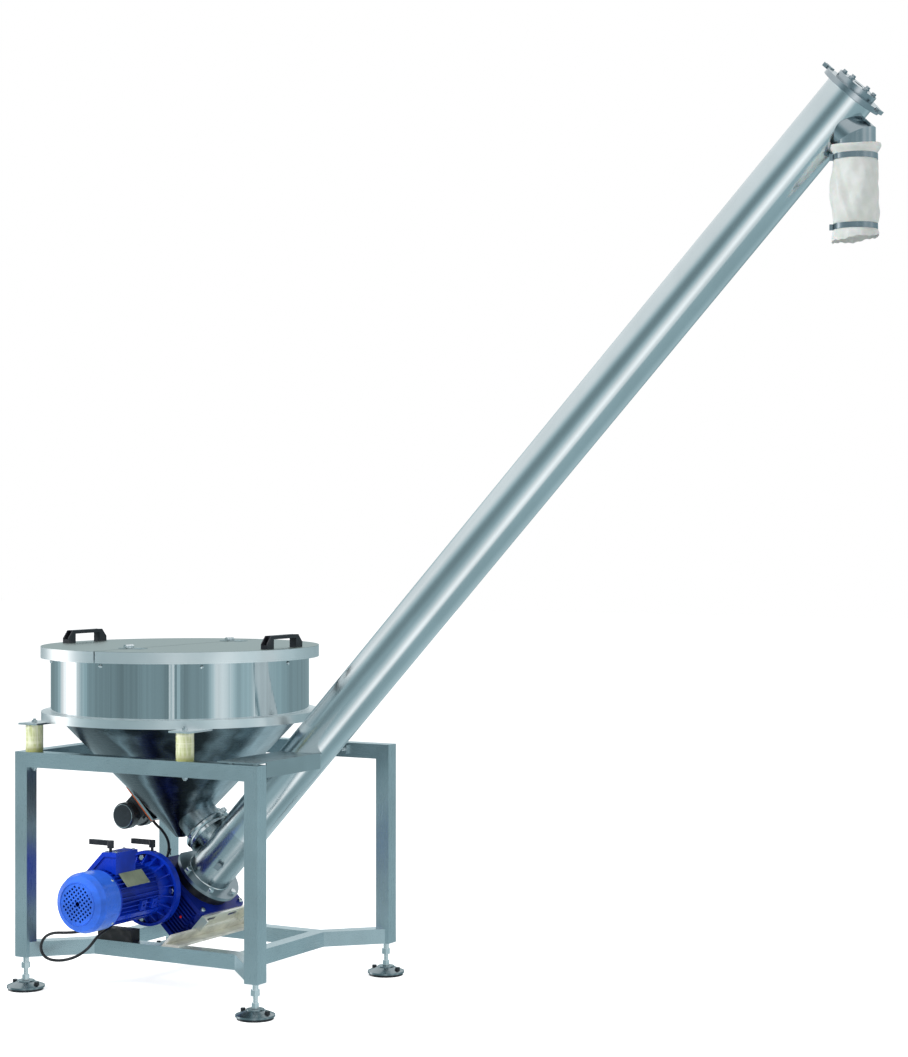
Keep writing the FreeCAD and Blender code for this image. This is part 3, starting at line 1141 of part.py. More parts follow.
def motor(label):
    """Finned motor body from its flange to its end shield."""
    core = rod(label + "_core", "dim.motor_body_radius", COVER_START + " - dim.fin_start",
               (0, 0, "dim.fin_start"))
    fins = []
    count = int(number("dim.fin_count"))
    for index in range(count):
        fin = box("%s_fin_%d" % (label, index), ("dim.motor_fin_radius", "dim.fin_sheet", FIN_LENGTH),
                  (0, "-dim.fin_sheet / 2", "dim.fin_start"))
        holder = wrap("%s_fin_turned_%d" % (label, index), fin)
        holder.Placement = Placement(Vector(0, 0, 0), Rotation(Vector(0, 0, 1), (index + 0.5) * 360 / count))
        fins.append(holder)
    shield = rod(label + "_shield", "dim.fan_cover_radius - dim.cover_sheet - dim.round_fit",
                 "dim.shield_step * 2", (0, 0, COVER_START + " - dim.shield_step"))
    pads = [foot_pad("%s_pad_%d_%d" % (label, side, index),
                     "dim.pad_start + %d * dim.pad_pitch" % index, turn)
            for side, turn in enumerate(PAD_TURNS)
            for index in range(2)]
    rails = []
    for side, turn in enumerate(RAIL_TURNS):
        rail = box("%s_rail_%d" % (label, side), ("dim.rail_reach", "dim.rail_width", FIN_LENGTH),
                   (0, "-dim.rail_width / 2", "dim.fin_start"))
        holder = wrap("%s_rail_turned_%d" % (label, side), rail)
        holder.Placement = Placement(Vector(0, 0, 0), Rotation(Vector(0, 0, 1), turn))
        rails.append(holder)
    return node(on_motor(fuse(label, core, shield, *fins, *pads, *rails)), label)


motor("motor")


def fan_cover(label):
    """Sheet cover with a rounded shoulder; its end has a grille of square holes in slanted rows."""
    end = "dim.motor_length"
    face = "(dim.fan_cover_radius - dim.cover_round)"
    soft = "dim.cover_round * 0.3"
    shell = revolved(label + "_shell", [
        (0, end + " - dim.cover_sheet"),
        (face, end + " - dim.cover_sheet"),
        ("dim.fan_cover_radius - dim.cover_sheet - " + soft, end + " - " + soft),
        ("dim.fan_cover_radius - dim.cover_sheet", end + " - dim.cover_round"),
        ("dim.fan_cover_radius - dim.cover_sheet", COVER_START),
        ("dim.fan_cover_radius", COVER_START),
        ("dim.fan_cover_radius", end + " - dim.cover_round"),
        ("dim.fan_cover_radius - " + soft, end + " - " + soft),
        (face + " + dim.cover_sheet", end),
        (face, end),
        (face + " - dim.cover_bead / 2", end + " + dim.cover_bead"),
        (face + " - dim.cover_bead", end),
        (0, end),
    ])
    low = end + " - dim.cover_round / 2"
    holes = [rod(label + "_centre_hole", "dim.grille_centre", "dim.cover_round", (0, 0, low))]
    steps = int(number("dim.grille_radius") / number("dim.grille_pitch")) + 1
    for row in range(-steps, steps + 1):
        for column in range(-steps, steps + 1):
            reach = math.hypot(row, column) * number("dim.grille_pitch")
            if reach > number("dim.grille_radius") or reach < number("dim.grille_centre") * 1.2:
                continue
            holes.append(box("%s_hole_%d_%d" % (label, row, column),
                             ("dim.grille_hole", "dim.grille_hole", "dim.cover_round"),
                             ("%d * dim.grille_pitch - dim.grille_hole / 2" % column,
                              "%d * dim.grille_pitch - dim.grille_hole / 2" % row, low)))
    grille = wrap(label + "_grille", *holes)
    grille.Placement = Placement(Vector(0, 0, 0), Rotation(Vector(0, 0, 1), number("dim.grille_turn")))
    bind(grille, Placement__Rotation__Angle="dim.grille_turn")
    return node(on_motor(cut(label, shell, grille)), label)


fan_cover("fan_cover")


def slice_across(name, points, start, length):
    """Slice square to the motor's axis with the given outline."""
    body = doc.addObject("PartDesign::Body", name)
    sketch = outline(body, name + "_outline", points, "XY_Plane")
    pad = body.newObject("PartDesign::Pad", name + "_pad")
    pad.Profile = sketch
    bind(pad, Length=length)
    return place(body, (0, 0, start))


def terminal_box(label):
    """Box on the motor's back with a slanted corner, an overhanging lid and the lead's gland."""
    box_outline = [
        ("-dim.terminal_left", "dim.motor_body_radius * 0.7"),
        ("dim.terminal_right", "dim.motor_body_radius * 0.7"),
        ("dim.terminal_right", "dim.terminal_top"),
        ("dim.terminal_slant - dim.terminal_left", "dim.terminal_top"),
        ("-dim.terminal_left", "dim.terminal_top - dim.terminal_slant"),
    ]
    lid_outline = [
        ("-dim.terminal_left - dim.lid_lip", "dim.terminal_top - dim.terminal_slant - dim.lid_lip"),
        ("dim.terminal_slant - dim.terminal_left", "dim.terminal_top"),
        ("dim.terminal_right + dim.lid_lip", "dim.terminal_top"),
        ("dim.terminal_right + dim.lid_lip", "dim.terminal_top - dim.lid_depth"),
        ("dim.terminal_slant - dim.terminal_left + dim.lid_depth * (sqrt(2) - 1)",
         "dim.terminal_top - dim.lid_depth"),
        ("dim.lid_depth / sqrt(2) - dim.terminal_left - dim.lid_lip",
         "dim.terminal_top - dim.terminal_slant - dim.lid_lip - dim.lid_depth / sqrt(2)"),
    ]
    body = slice_across(label + "_body", box_outline, "dim.terminal_start", "dim.terminal_length")
    lid = slice_across(label + "_lid", lid_outline, "dim.terminal_start - dim.lid_lip",
                       "dim.terminal_length + 2 * dim.lid_lip")
    gland = rod(label + "_gland", "dim.gland_radius", "dim.box_gland_length + dim.terminal_left / 2",
                ("-dim.terminal_left - dim.box_gland_length", "dim.box_gland_level", "dim.box_gland_start"),
                "x")
    motor_space = rod(label + "_motor_space", "dim.motor_fin_radius + dim.round_fit", "dim.motor_length")
    return node(on_motor(cut(label, fuse(label + "_whole", body, lid, gland), motor_space)), label)


terminal_box("terminal_box")


def clamp_lever(name, at):
    """Clamping lever: stud, hub and a round-ended arm that points to -X."""
    stud = rod(name + "_stud", "dim.stud_radius", "dim.lever_stud")
    hub = rod(name + "_hub", "dim.lever_hub", "dim.lever_height", (0, 0, "dim.lever_stud"))
    arm_low = "dim.lever_stud + dim.lever_height - dim.lever_arm * 2"
    arm = box(name + "_arm", ("dim.lever_length - dim.lever_arm", "dim.lever_arm * 2", "dim.lever_arm * 2"),
              ("dim.lever_arm - dim.lever_length", "-dim.lever_arm", arm_low))
    tip = rod(name + "_tip", "dim.lever_arm", "dim.lever_arm * 2",
              ("dim.lever_arm - dim.lever_length", 0, arm_low))
    return place(fuse(name, stud, hub, arm, tip), at)


TERMINAL_TOP = MOTOR_Z + " + dim.terminal_top"
LEVER_X = "%s + %s" % (MOTOR_X, LEVER_SHIFT)
FRONT_LEVER_Y = MOTOR_FACE + " - dim.terminal_start - dim.terminal_length * 0.85"
front_lever = clamp_lever("front_lever", (LEVER_X, FRONT_LEVER_Y, TERMINAL_TOP))
back_lever = clamp_lever("back_lever", (LEVER_X, MOTOR_FACE + " - dim.motor_flange_sheet / 2",
                                        MOTOR_Z + " + dim.motor_flange_radius"))
node(wrap("lever_pair", front_lever, back_lever), "clamp_levers")

# Gear bracket: zinc plate screwed to the gear housing's lower face, on a bent angle that
# lies across the lower ring.

PLATE_START = "dim.gear_height / 2"
PLATE_LENGTH = "(dim.gear_depth - 2 * dim.bracket_margin)"
PLATE_EDGE = "(dim.gear_width / 2 - dim.bracket_margin)"
PLATE_TOP = "(%s - dim.bracket_margin)" % SEAL_BOTTOM


def gear_bracket(label):
    """Plate on the housing's lower right face, with two slots and a cheek at each end."""
    plate = box(label + "_plate", ("dim.bracket_sheet", "2 * " + PLATE_EDGE, PLATE_LENGTH),
                (PLATE_START, "-" + PLATE_EDGE, "%s - %s" % (PLATE_TOP, PLATE_LENGTH)))
    cheeks = [box("%s_cheek_%d" % (label, index),
                  ("dim.cheek_height", "dim.bracket_sheet", "dim.cheek_length"),
                  (PLATE_START, edge, PLATE_TOP + " - dim.cheek_length"))
              for index, edge in enumerate(("-" + PLATE_EDGE, PLATE_EDGE + " - dim.bracket_sheet"))]
    slots = [box("%s_slot_%d" % (label, side), ("dim.bracket_sheet * 3", "dim.slot_length", "dim.slot_width"),
                 (PLATE_START + " - dim.bracket_sheet",
                  "%d * %s / 2 - dim.slot_length / 2" % (side, PLATE_EDGE),
                  PLATE_TOP + " - dim.cheek_length / 2"))
             for side in (-1, 1)]
    return node(on_drive(cut(label, fuse(label + "_whole", plate, *cheeks), *slots)), label)


gear_bracket("gear_bracket")


def support_angle(label):
    """Bent sheet: one leg lies on the ring bars, the other on the bracket's plate."""
    outer_face = "(dim.gear_height / 2 + dim.bracket_sheet)"
    ring_top = "(dim.leg_bottom + dim.leg_width)"
    along = "((%s - dim.foot_z + cos(dim.climb) * %s) / sin(dim.climb))" % (ring_top, outer_face)
    start_x = "(dim.foot_x + cos(dim.climb) * %s + sin(dim.climb) * %s)" % (along, outer_face)
    inner_x = "(%s + dim.bracket_sheet * (1 + cos(dim.climb)) / sin(dim.climb))" % start_x
    body = doc.addObject("PartDesign::Body", label + "_body")
    sketch = outline(body, label + "_outline", [
        (start_x, ring_top),
        (start_x + " + dim.angle_leg", ring_top),
        (start_x + " + dim.angle_leg", ring_top + " + dim.bracket_sheet"),
        (inner_x, ring_top + " + dim.bracket_sheet"),
        (start_x + " + cos(dim.climb) * dim.angle_rise + sin(dim.climb) * dim.bracket_sheet",
         ring_top + " + sin(dim.climb) * dim.angle_rise - cos(dim.climb) * dim.bracket_sheet"),
        (start_x + " + cos(dim.climb) * dim.angle_rise", ring_top + " + sin(dim.climb) * dim.angle_rise"),
    ])
    pad = body.newObject("PartDesign::Pad", label + "_pad")
    pad.Profile = sketch
    bind(pad, Length=RING_WIDTH)
    place(body, (0, RING_BACK, 0))
    return node(body, label)


support_angle("support_angle")

support_block = box("support_block_body",
                    ("dim.block_length", "dim.leg_width - 2 * dim.block_margin", "dim.block_height"),
                    (MOTOR_X + " - dim.block_length", RING_FRONT + " + dim.block_margin",
                     "dim.leg_bottom + dim.leg_width"))
node(support_block, "support_block")


# Saddle plate on the front right leg that reaches to the tube and is cut to its curve, with
# a flange turned down behind the leg.

def saddle_plate(label):
    plate_low = "(dim.stand_top + dim.saddle_lift)"
    plate = box(label + "_plate", ("dim.saddle_width", "%s / 2" % STAND_WIDTH, "dim.saddle_sheet"),
                (RIGHT + " - dim.saddle_width", FRONT, plate_low))
    flange_length = "(%s / 2 - dim.leg_width - dim.saddle_short)" % STAND_WIDTH
    flange = box(label + "_flange", ("dim.saddle_sheet", flange_length, "dim.saddle_flange"),
                 (RIGHT + " - dim.saddle_sheet", FRONT + " + dim.leg_width + dim.saddle_sheet / 4",
                  plate_low + " - dim.saddle_flange + dim.saddle_sheet"))
    spacers = [rod("%s_spacer_%d" % (label, index), "dim.spacer_radius", "dim.saddle_lift",
                   (RIGHT + " - dim.leg_width / 2 - %d * dim.spacer_pitch" % index,
                    FRONT + " + dim.leg_width / 2", "dim.stand_top"))
               for index in range(2)]
    tube_space = on_drive(wrap(label + "_tube_space", rod(label + "_tube", FLANGE_BORE, "dim.auger_length")))
    return node(cut(label, fuse(label + "_sheet", plate, flange, *spacers), tube_space), label)


saddle_plate("saddle_plate")

LUG_FACE = BACK + " - dim.leg_width - dim.rail_lug_sheet"
LUG_LEVEL = "(dim.stand_top - dim.rail_lug_level)"
rail_lug = fuse("rail_lug_body",
                box("rail_lug_plate", ("dim.rail_lug_side", "dim.rail_lug_sheet", "dim.rail_lug_side"),
                    ("dim.rail_lug_x - dim.rail_lug_side / 2", LUG_FACE, LUG_LEVEL)),
                rod("rail_lug_bolt", "dim.rail_lug_bolt", "dim.rail_lug_bolt_length",
                    ("dim.rail_lug_x", LUG_FACE + " - dim.rail_lug_bolt_length",
                     LUG_LEVEL + " + dim.rail_lug_side / 2"), "y"))
node(rail_lug, "rail_lug")

# Vibrator on the cone's left side, its body along Y, on a mounting plate that follows the
# cone wall.

CONE_SLOPE = math.degrees(math.atan2(number(CONE_DROP), number(CONE_TOP + " - dim.tip_radius")))


def on_cone(thing):
    """Place a piece whose Z axis stands square on the cone's left wall."""
    thing.Placement = Placement(Vector(0, 0, 0), Rotation(Vector(0, 1, 0), CONE_SLOPE - 180))
    wall_radius = cone_radius("dim.vibrator_level")
    bind(thing, Placement__Base__x="dim.hopper_x - " + wall_radius, Placement__Base__z="dim.vibrator_level")
    return thing


def end_cap(name, y_side):
    """Turned cap with a bevelled edge on one end of the vibrator."""
    cap = revolved(name + "_turned", [
        (0, 0),
        ("dim.vibrator_radius", 0),
        ("dim.vibrator_radius", "dim.cap_length - dim.cap_round"),
        ("dim.vibrator_radius - dim.cap_round", "dim.cap_length"),
        (0, "dim.cap_length"),
    ])
    holder = wrap(name, cap)
    return place(holder, ("dim.vibrator_shift", "%d * (dim.vibrator_length / 2 - dim.cap_length)" % y_side,
                          VIBRATOR_AXIS), Rotation(Vector(1, 0, 0), -90 * y_side))


VIBRATOR_AXIS = "(dim.plate_sheet + dim.vibrator_rise)"


def vibrator(label):
    """Vibrator motor: waisted body between two caps on a foot, with a block and gland for its lead."""
    body = rod(label + "_body", "dim.vibrator_waist", "dim.vibrator_length - dim.cap_length",
               ("dim.vibrator_shift", "-(dim.vibrator_length - dim.cap_length) / 2", VIBRATOR_AXIS), "y")
    caps = [end_cap("%s_cap_%d" % (label, index), y_side) for index, y_side in enumerate((-1, 1))]
    foot = box(label + "_foot",
               ("dim.vibrator_foot", "dim.vibrator_length - 2 * dim.cap_length", "dim.vibrator_rise"),
               ("dim.vibrator_shift - dim.vibrator_foot / 2", "-dim.vibrator_length / 2 + dim.cap_length",
                "dim.plate_sheet"))
    block_end = "(dim.vibrator_shift - dim.vibrator_foot / 2)"
    block = box(label + "_lead_block",
                ("dim.lead_block_sheet", "dim.lead_block_width", "dim.lead_block_height"),
                (block_end + " - dim.lead_block_sheet", "-dim.lead_block_width / 2",
                 "dim.lead_gland_level - dim.lead_block_height / 2"))
    gland = rod(label + "_gland", "dim.gland_radius", "dim.lead_gland_end + " + block_end,
                ("-dim.lead_gland_end", 0, "dim.lead_gland_level"), "x")
    return node(on_cone(fuse(label, body, foot, block, gland, *caps)), label)


vibrator("vibrator")

plate_body = box("vibrator_plate_body", ("dim.plate_length", "dim.plate_width", "dim.plate_sheet"),
                 ("-dim.plate_length / 2", "-dim.plate_width / 2", 0))
node(on_cone(wrap("vibrator_plate_placed", plate_body)), "vibrator_plate")

BAND_INSIDE = "(dim.bag_radius + dim.round_fit)"
BAND_LEVELS = ("(-dim.bag_start - dim.band_top)", "(dim.band_bottom - dim.bag_start - dim.bag_length)")
sleeve_bands = [revolved("sleeve_band_%d" % index, [
    (BAND_INSIDE, level),
    (BAND_INSIDE + " + dim.band_sheet", level),
    (BAND_INSIDE + " + dim.band_sheet", level + " + dim.band_width"),
    (BAND_INSIDE, level + " + dim.band_width"),
]) for index, level in enumerate(BAND_LEVELS)]
node(place(wrap("sleeve_bands_pair", *sleeve_bands), (SPOUT_X, 0, ELBOW_Z)), "sleeve_bands")

# The vibrator's lead: limp, from the gland of the terminal box down past the motor, in a
# loose loop in front of the lower ring, under the drive and up to the vibrator's gland.
LEAD_ROUTE = [
    (-218.2, -322, 393), (-246, -322, 393), (-267, -321, 373), (-277, -318, 340),
    (-277, -313, 303), (-266, -312, 266), (-243, -322, 232), (-226, -350, 213), (-238, -388, 207),
    (-276, -412, 205), (-322, -420, 203), (-357, -421, 187), (-374, -422, 157),
    (-367, -421, 128), (-340, -419, 112), (-288, -417, 113), (-229, -415, 131),
    (-184, -408, 163), (-162, -392, 201), (-156, -350, 216), (-175, -297, 222),
    (-209, -250, 231), (-238, -197, 236), (-258, -138, 240), (-268, -78, 258),
    (-266, -22, 292), (-250, 30, 334), (-228, 66, 378), (-208, 60, 422),
    (-197, 38, 460), (-203, 14, 494), (-220.7, 0, 514.6), (-234.6, 0, 529),
]
ARC_SHARE = 0.45


def lead_path(points):
    """Wire of straight runs joined by tangent arcs as large as the runs allow."""
    edges = []
    radii = []
    start = points[0]
    for before, corner, after in zip(points, points[1:], points[2:]):
        into = (corner - before).normalize()
        out = (after - corner).normalize()
        reach = ARC_SHARE * min((corner - before).Length, (after - corner).Length)
        half_turn = into.getAngle(out) / 2
        radius = reach / math.tan(half_turn)
        radii.append(radius)
        first = corner - into * reach
        last = corner + out * reach
        inward = (out - into).normalize()
        middle = corner + inward * (radius / math.cos(half_turn) - radius)
        edges.append(Part.LineSegment(start, first).toShape())
        edges.append(Part.Arc(first, middle, last).toShape())
        start = last
    edges.append(Part.LineSegment(start, points[-1]).toShape())
    print("lead radii", ", ".join("%.0f" % radius for radius in radii))
    return Part.Wire(edges)


def lead(label):
    points = [Vector(*point) for point in LEAD_ROUTE]
    path = lead_path(points)
    radius = number("dim.cable_radius")
    section = Part.Wire([Part.Circle(points[0], points[1] - points[0], radius).toShape()])
    thing = doc.addObject("Part::Feature", label + "_tube")
    thing.Shape = path.makePipeShell([section], True, True)
    straight = math.pi * radius ** 2 * path.Length
    print("lead length %.0f mm, volume over section times length %.4f"
          % (path.Length, thing.Shape.Volume / straight))
    return node(thing, label)


lead("vibrator_lead")


def save():
    doc.recompute()
    broken = [item.Name for item in doc.Objects if "Invalid" in item.State or "Error" in item.State]
    if broken:
        raise RuntimeError("objects failed: " + ", ".join(broken))
    os.makedirs("parts", exist_ok=True)
    for thing in parts:
        shape = thing.Shape
        if shape.isNull() or not shape.isValid():
            raise RuntimeError(thing.Label + " has no valid shape")
        shape.exportStep("parts/%s.step" % thing.Label)
        print(thing.Label, len(shape.Solids), round(shape.Volume / 1000), "cm3")


save()
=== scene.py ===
import json
import math

import bmesh
import bpy
from mathutils import Matrix, Vector

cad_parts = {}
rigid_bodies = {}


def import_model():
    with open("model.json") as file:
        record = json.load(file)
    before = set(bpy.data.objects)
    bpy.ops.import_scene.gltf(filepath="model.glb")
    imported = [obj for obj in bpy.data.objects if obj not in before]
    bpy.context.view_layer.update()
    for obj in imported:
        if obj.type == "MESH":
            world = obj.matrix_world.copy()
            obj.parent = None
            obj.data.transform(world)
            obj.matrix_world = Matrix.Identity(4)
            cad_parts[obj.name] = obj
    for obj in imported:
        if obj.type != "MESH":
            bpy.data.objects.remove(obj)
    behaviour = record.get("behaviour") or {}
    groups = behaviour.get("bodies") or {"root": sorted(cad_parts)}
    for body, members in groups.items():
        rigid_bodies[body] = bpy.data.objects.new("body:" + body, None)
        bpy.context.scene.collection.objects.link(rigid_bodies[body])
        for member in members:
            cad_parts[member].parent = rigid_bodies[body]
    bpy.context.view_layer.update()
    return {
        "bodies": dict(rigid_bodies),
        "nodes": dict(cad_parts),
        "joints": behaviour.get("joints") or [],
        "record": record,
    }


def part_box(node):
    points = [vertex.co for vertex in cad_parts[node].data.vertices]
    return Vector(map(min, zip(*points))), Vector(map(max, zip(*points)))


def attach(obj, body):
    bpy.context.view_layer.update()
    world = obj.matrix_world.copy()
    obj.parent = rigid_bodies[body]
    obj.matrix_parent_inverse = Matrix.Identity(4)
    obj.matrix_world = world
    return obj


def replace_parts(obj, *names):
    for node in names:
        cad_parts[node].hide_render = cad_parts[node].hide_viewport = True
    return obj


# Auger elevator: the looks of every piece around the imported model. Metres, +Z up.

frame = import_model()
nodes = frame["nodes"]

# Places and sizes that the pieces here share with the model.

HOPPER_X = -0.116
DRUM_RADIUS = 0.434
LID_TOP = 1.130
CONE_RUN, CONE_DROP = 0.388, 0.404
STAND_TOP = 0.788
TAB_BOTTOM = 0.878
FOOT_X, FOOT_Y = 0.4575, 0.395
SOLE_TOP, COLLAR_TOP = 0.008, 0.031
PLUG_OFFSET, PLUG_RADIUS = 0.046, 0.0086
CLIMB = math.radians(46.95)
TUBE_FOOT = Vector((0.003, 0.0, 0.3675))
TUBE_LENGTH = 3.3
TUBE_TURN = Matrix.Rotation(math.pi / 2 - CLIMB, 4, "Y")
TUBE_FRAME = Matrix.Translation(TUBE_FOOT) @ TUBE_TURN
PLATE_SHEET = 0.008

# Camera: a pin-hole camera fitted to twelve corners of the stand.

IMAGE_HEIGHT = 1057
FOCAL_PIXELS = 2235
CAMERA_PLACE = Vector((4.3875, -6.159, 1.524))
CAMERA_AIM = Vector((-0.488, 0.873, 0.0))
CAMERA_RIGHT = Vector((CAMERA_AIM.y, -CAMERA_AIM.x, 0.0))


def make_camera():
    data = bpy.data.cameras.new("camera")
    data.sensor_fit = "VERTICAL"
    data.sensor_height = 24.0
    data.lens = FOCAL_PIXELS * data.sensor_height / IMAGE_HEIGHT
    data.clip_end = 100
    camera = bpy.data.objects.new("camera", data)
    bpy.context.scene.collection.objects.link(camera)
    camera.location = CAMERA_PLACE
    camera.rotation_euler = CAMERA_AIM.to_track_quat("-Z", "Y").to_euler()
    bpy.context.scene.camera = camera


# Shader building. Textures are laid out in object coordinates, so they stay on their piece.

def add(tree, kind, inputs=None, **settings):
    node = tree.nodes.new(kind)
    for name, value in settings.items():
        setattr(node, name, value)
    for name, value in (inputs or {}).items():
        if isinstance(value, bpy.types.NodeSocket):
            tree.links.new(value, node.inputs[name])
        else:
            node.inputs[name].default_value = value
    return node


def link(tree, value, socket):
    tree.links.new(value, socket)


def calc(tree, operation, first, second=0.5, third=0.0, clamp=False):
    inputs = {0: first, 1: second, 2: third}
    return add(tree, "ShaderNodeMath", inputs, operation=operation, use_clamp=clamp).outputs[0]


def spread(tree, value, low, high, new_low=0.0, new_high=1.0):
    """Soft step from one level to another while the value goes from low to high."""
    inputs = {"Value": value, "From Min": low, "From Max": high, "To Min": new_low, "To Max": new_high}
    return add(tree, "ShaderNodeMapRange", inputs, interpolation_type="SMOOTHSTEP").outputs[0]


def share_between(tree, value, low, high):
    inputs = {"Value": value, "From Min": low, "From Max": high}
    return add(tree, "ShaderNodeMapRange", inputs).outputs[0]


def blend_colours(tree, factor, first, second, mode="MIX"):
    node = add(tree, "ShaderNodeMix", data_type="RGBA", blend_type=mode)
    for socket, value in ((node.inputs[0], factor), (node.inputs[6], first), (node.inputs[7], second)):
        if isinstance(value, bpy.types.NodeSocket):
            tree.links.new(value, socket)
        elif isinstance(value, (int, float)):
            socket.default_value = value
        else:
            socket.default_value = (*value, 1.0)
    return node.outputs[2]


def ramp(tree, value, stops):
    """Grey levels at stops along the value."""
    node = add(tree, "ShaderNodeValToRGB", {0: value})
    elements = node.color_ramp.elements
    while len(elements) < len(stops):
        elements.new(0.5)
    for element, (place, level) in zip(elements, stops):
        element.position = place
        element.color = (level, level, level, 1.0)
    return node.outputs[0]


def local(tree, scale=(1, 1, 1), turn=(0, 0, 0), shift=(0, 0, 0)):
    coordinates = add(tree, "ShaderNodeTexCoord")
    inputs = {"Vector": coordinates.outputs["Object"], "Location": shift, "Rotation": turn, "Scale": scale}
    return add(tree, "ShaderNodeMapping", inputs).outputs[0]


def local_height(tree):
    return add(tree, "ShaderNodeSeparateXYZ", {0: local(tree)}).outputs[2]


def from_hopper(tree):
    """Level way from the hopper's axis to a place."""
    return local(tree, (1, 1, 0), shift=(-HOPPER_X, 0, 0))


def round_hopper(tree):
    """Direction from the hopper's axis, the same at every height and radius."""
    return add(tree, "ShaderNodeVectorMath", {0: from_hopper(tree)}, operation="NORMALIZE").outputs[0]


def noise(tree, vector, scale, detail=3.0, roughness=0.55):
    inputs = {"Vector": vector, "Scale": scale, "Detail": detail, "Roughness": roughness}
    return add(tree, "ShaderNodeTexNoise", inputs).outputs["Fac"]


def bump(tree, height, strength, distance, normal=None):
    inputs = {"Height": height, "Strength": strength, "Distance": distance}
    if normal is not None:
        inputs["Normal"] = normal
    return add(tree, "ShaderNodeBump", inputs).outputs[0]


def tree_and_shader(material):
    return material.node_tree, material.node_tree.nodes["Principled BSDF"]


def new_material(name):
    material = bpy.data.materials.new(name)
    material.use_nodes = True
    return material, *tree_and_shader(material)


def base_tone(shader):
    """Colour that already goes into the shader."""
    return shader.inputs["Base Color"].links[0].from_socket


# Ways in which a metal's grain runs. The texture is fine across the grain and long along it.

ALONG_X = (1, 60, 60)
ALONG_Y = (60, 1, 60)
ALONG_Z = (60, 60, 1)
ROUND_Z = (1, 1, 60)
FINE_ROUND_Z = (1, 1, 80)
MOTTLED = (9, 9, 9)
TUBE_LEAN = (0, -(math.pi / 2 - CLIMB), 0)

# Colours of steel that several finishes share.

STAND_STEEL = (0.62, 0.71, 0.74)
TUBE_STEEL = (0.60, 0.66, 0.68)
DARK_STEEL = (0.30, 0.36, 0.39)


def steel(name, colour, roughness, grain, turn=(0, 0, 0), smudge_and_sheen=0.06, wave=0.0, spokes=0):
    """Brushed metal: fine grain lines, soft smudges and, with a wave, a slightly uneven sheet.

    With spokes, smudges and waves run out from the hopper's axis; there the smudges are painted highlight
    streaks.
    """
    material, tree, shader = new_material(name)
    shader.inputs["Metallic"].default_value = 1.0
    lines = noise(tree, local(tree, grain, turn), 26.0, 3.0, 0.6)
    layout = round_hopper(tree) if spokes else local(tree)
    clouds = noise(tree, layout, spokes or 5.0, 3.0)
    dark = tuple(channel * (1 - 1.6 * smudge_and_sheen) for channel in colour)
    light = tuple(min(1.0, channel * (1 + smudge_and_sheen)) for channel in colour)
    # Random tone smudges; with spokes, painted highlight streaks round the hopper's axis.
    tone = blend_colours(tree, spread(tree, clouds, 0.3, 0.7), dark, light)
    tone = blend_colours(tree, spread(tree, lines, 0.3, 0.7, 0.0, 0.12), tone, dark)
    link(tree, tone, shader.inputs["Base Color"])
    rough = spread(tree, lines, 0.25, 0.75, roughness * 0.85, roughness * 1.15)
    link(tree, rough, shader.inputs["Roughness"])
    normal = bump(tree, lines, 0.2, 0.00001)
    if wave:
        sheet = noise(tree, layout, spokes * 1.5, 2.0)
        normal = bump(tree, sheet, 0.6, wave, normal)
    link(tree, normal, shader.inputs["Normal"])
    return material


def paint(name, colour, roughness, peel=0.00012, dust=0.03, coat=0.06):
    """Sprayed enamel: orange peel, a thin dull film in places and pale dust."""
    dust_tone = (0.45, 0.52, 0.62)
    material, tree, shader = new_material(name)
    shader.inputs["Coat Weight"].default_value = coat
    shader.inputs["Coat Roughness"].default_value = 0.12
    shader.inputs["Specular IOR Level"].default_value = 0.22
    clouds = noise(tree, local(tree), 11.0, 4.0)
    grains = noise(tree, local(tree), 320.0, 2.0)
    dull = tuple(channel * 0.72 + 0.003 for channel in colour)
    light = tuple(min(1.0, channel * 1.15 + 0.002) for channel in colour)
    tone = blend_colours(tree, spread(tree, clouds, 0.35, 0.7), light, dull)
    tone = blend_colours(tree, spread(tree, grains, 0.62, 0.75, 0.0, dust), tone, dust_tone)
    link(tree, tone, shader.inputs["Base Color"])
    link(tree, spread(tree, clouds, 0.3, 0.7, roughness * 0.8, roughness * 1.3), shader.inputs["Roughness"])
    link(tree, bump(tree, noise(tree, local(tree), 190.0, 2.0), 0.35, peel), shader.inputs["Normal"])
    return material


def moulded(name, colour, roughness, grain=260.0, depth=0.0001, edge=0.03):
    """Moulded plastic or rubber with a fine grain and scuffed lighter spots."""
    material, tree, shader = new_material(name)
    shader.inputs["Specular IOR Level"].default_value = 0.45
    spots = noise(tree, local(tree), 24.0, 4.0)
    scuffed = tuple(channel + edge for channel in colour)
    tone = blend_colours(tree, spread(tree, spots, 0.45, 0.75), colour, scuffed)
    link(tree, tone, shader.inputs["Base Color"])
    link(tree, spread(tree, spots, 0.3, 0.7, roughness * 0.8, roughness * 1.2), shader.inputs["Roughness"])
    link(tree, bump(tree, noise(tree, local(tree), grain, 2.0), 0.4, depth), shader.inputs["Normal"])
    return material


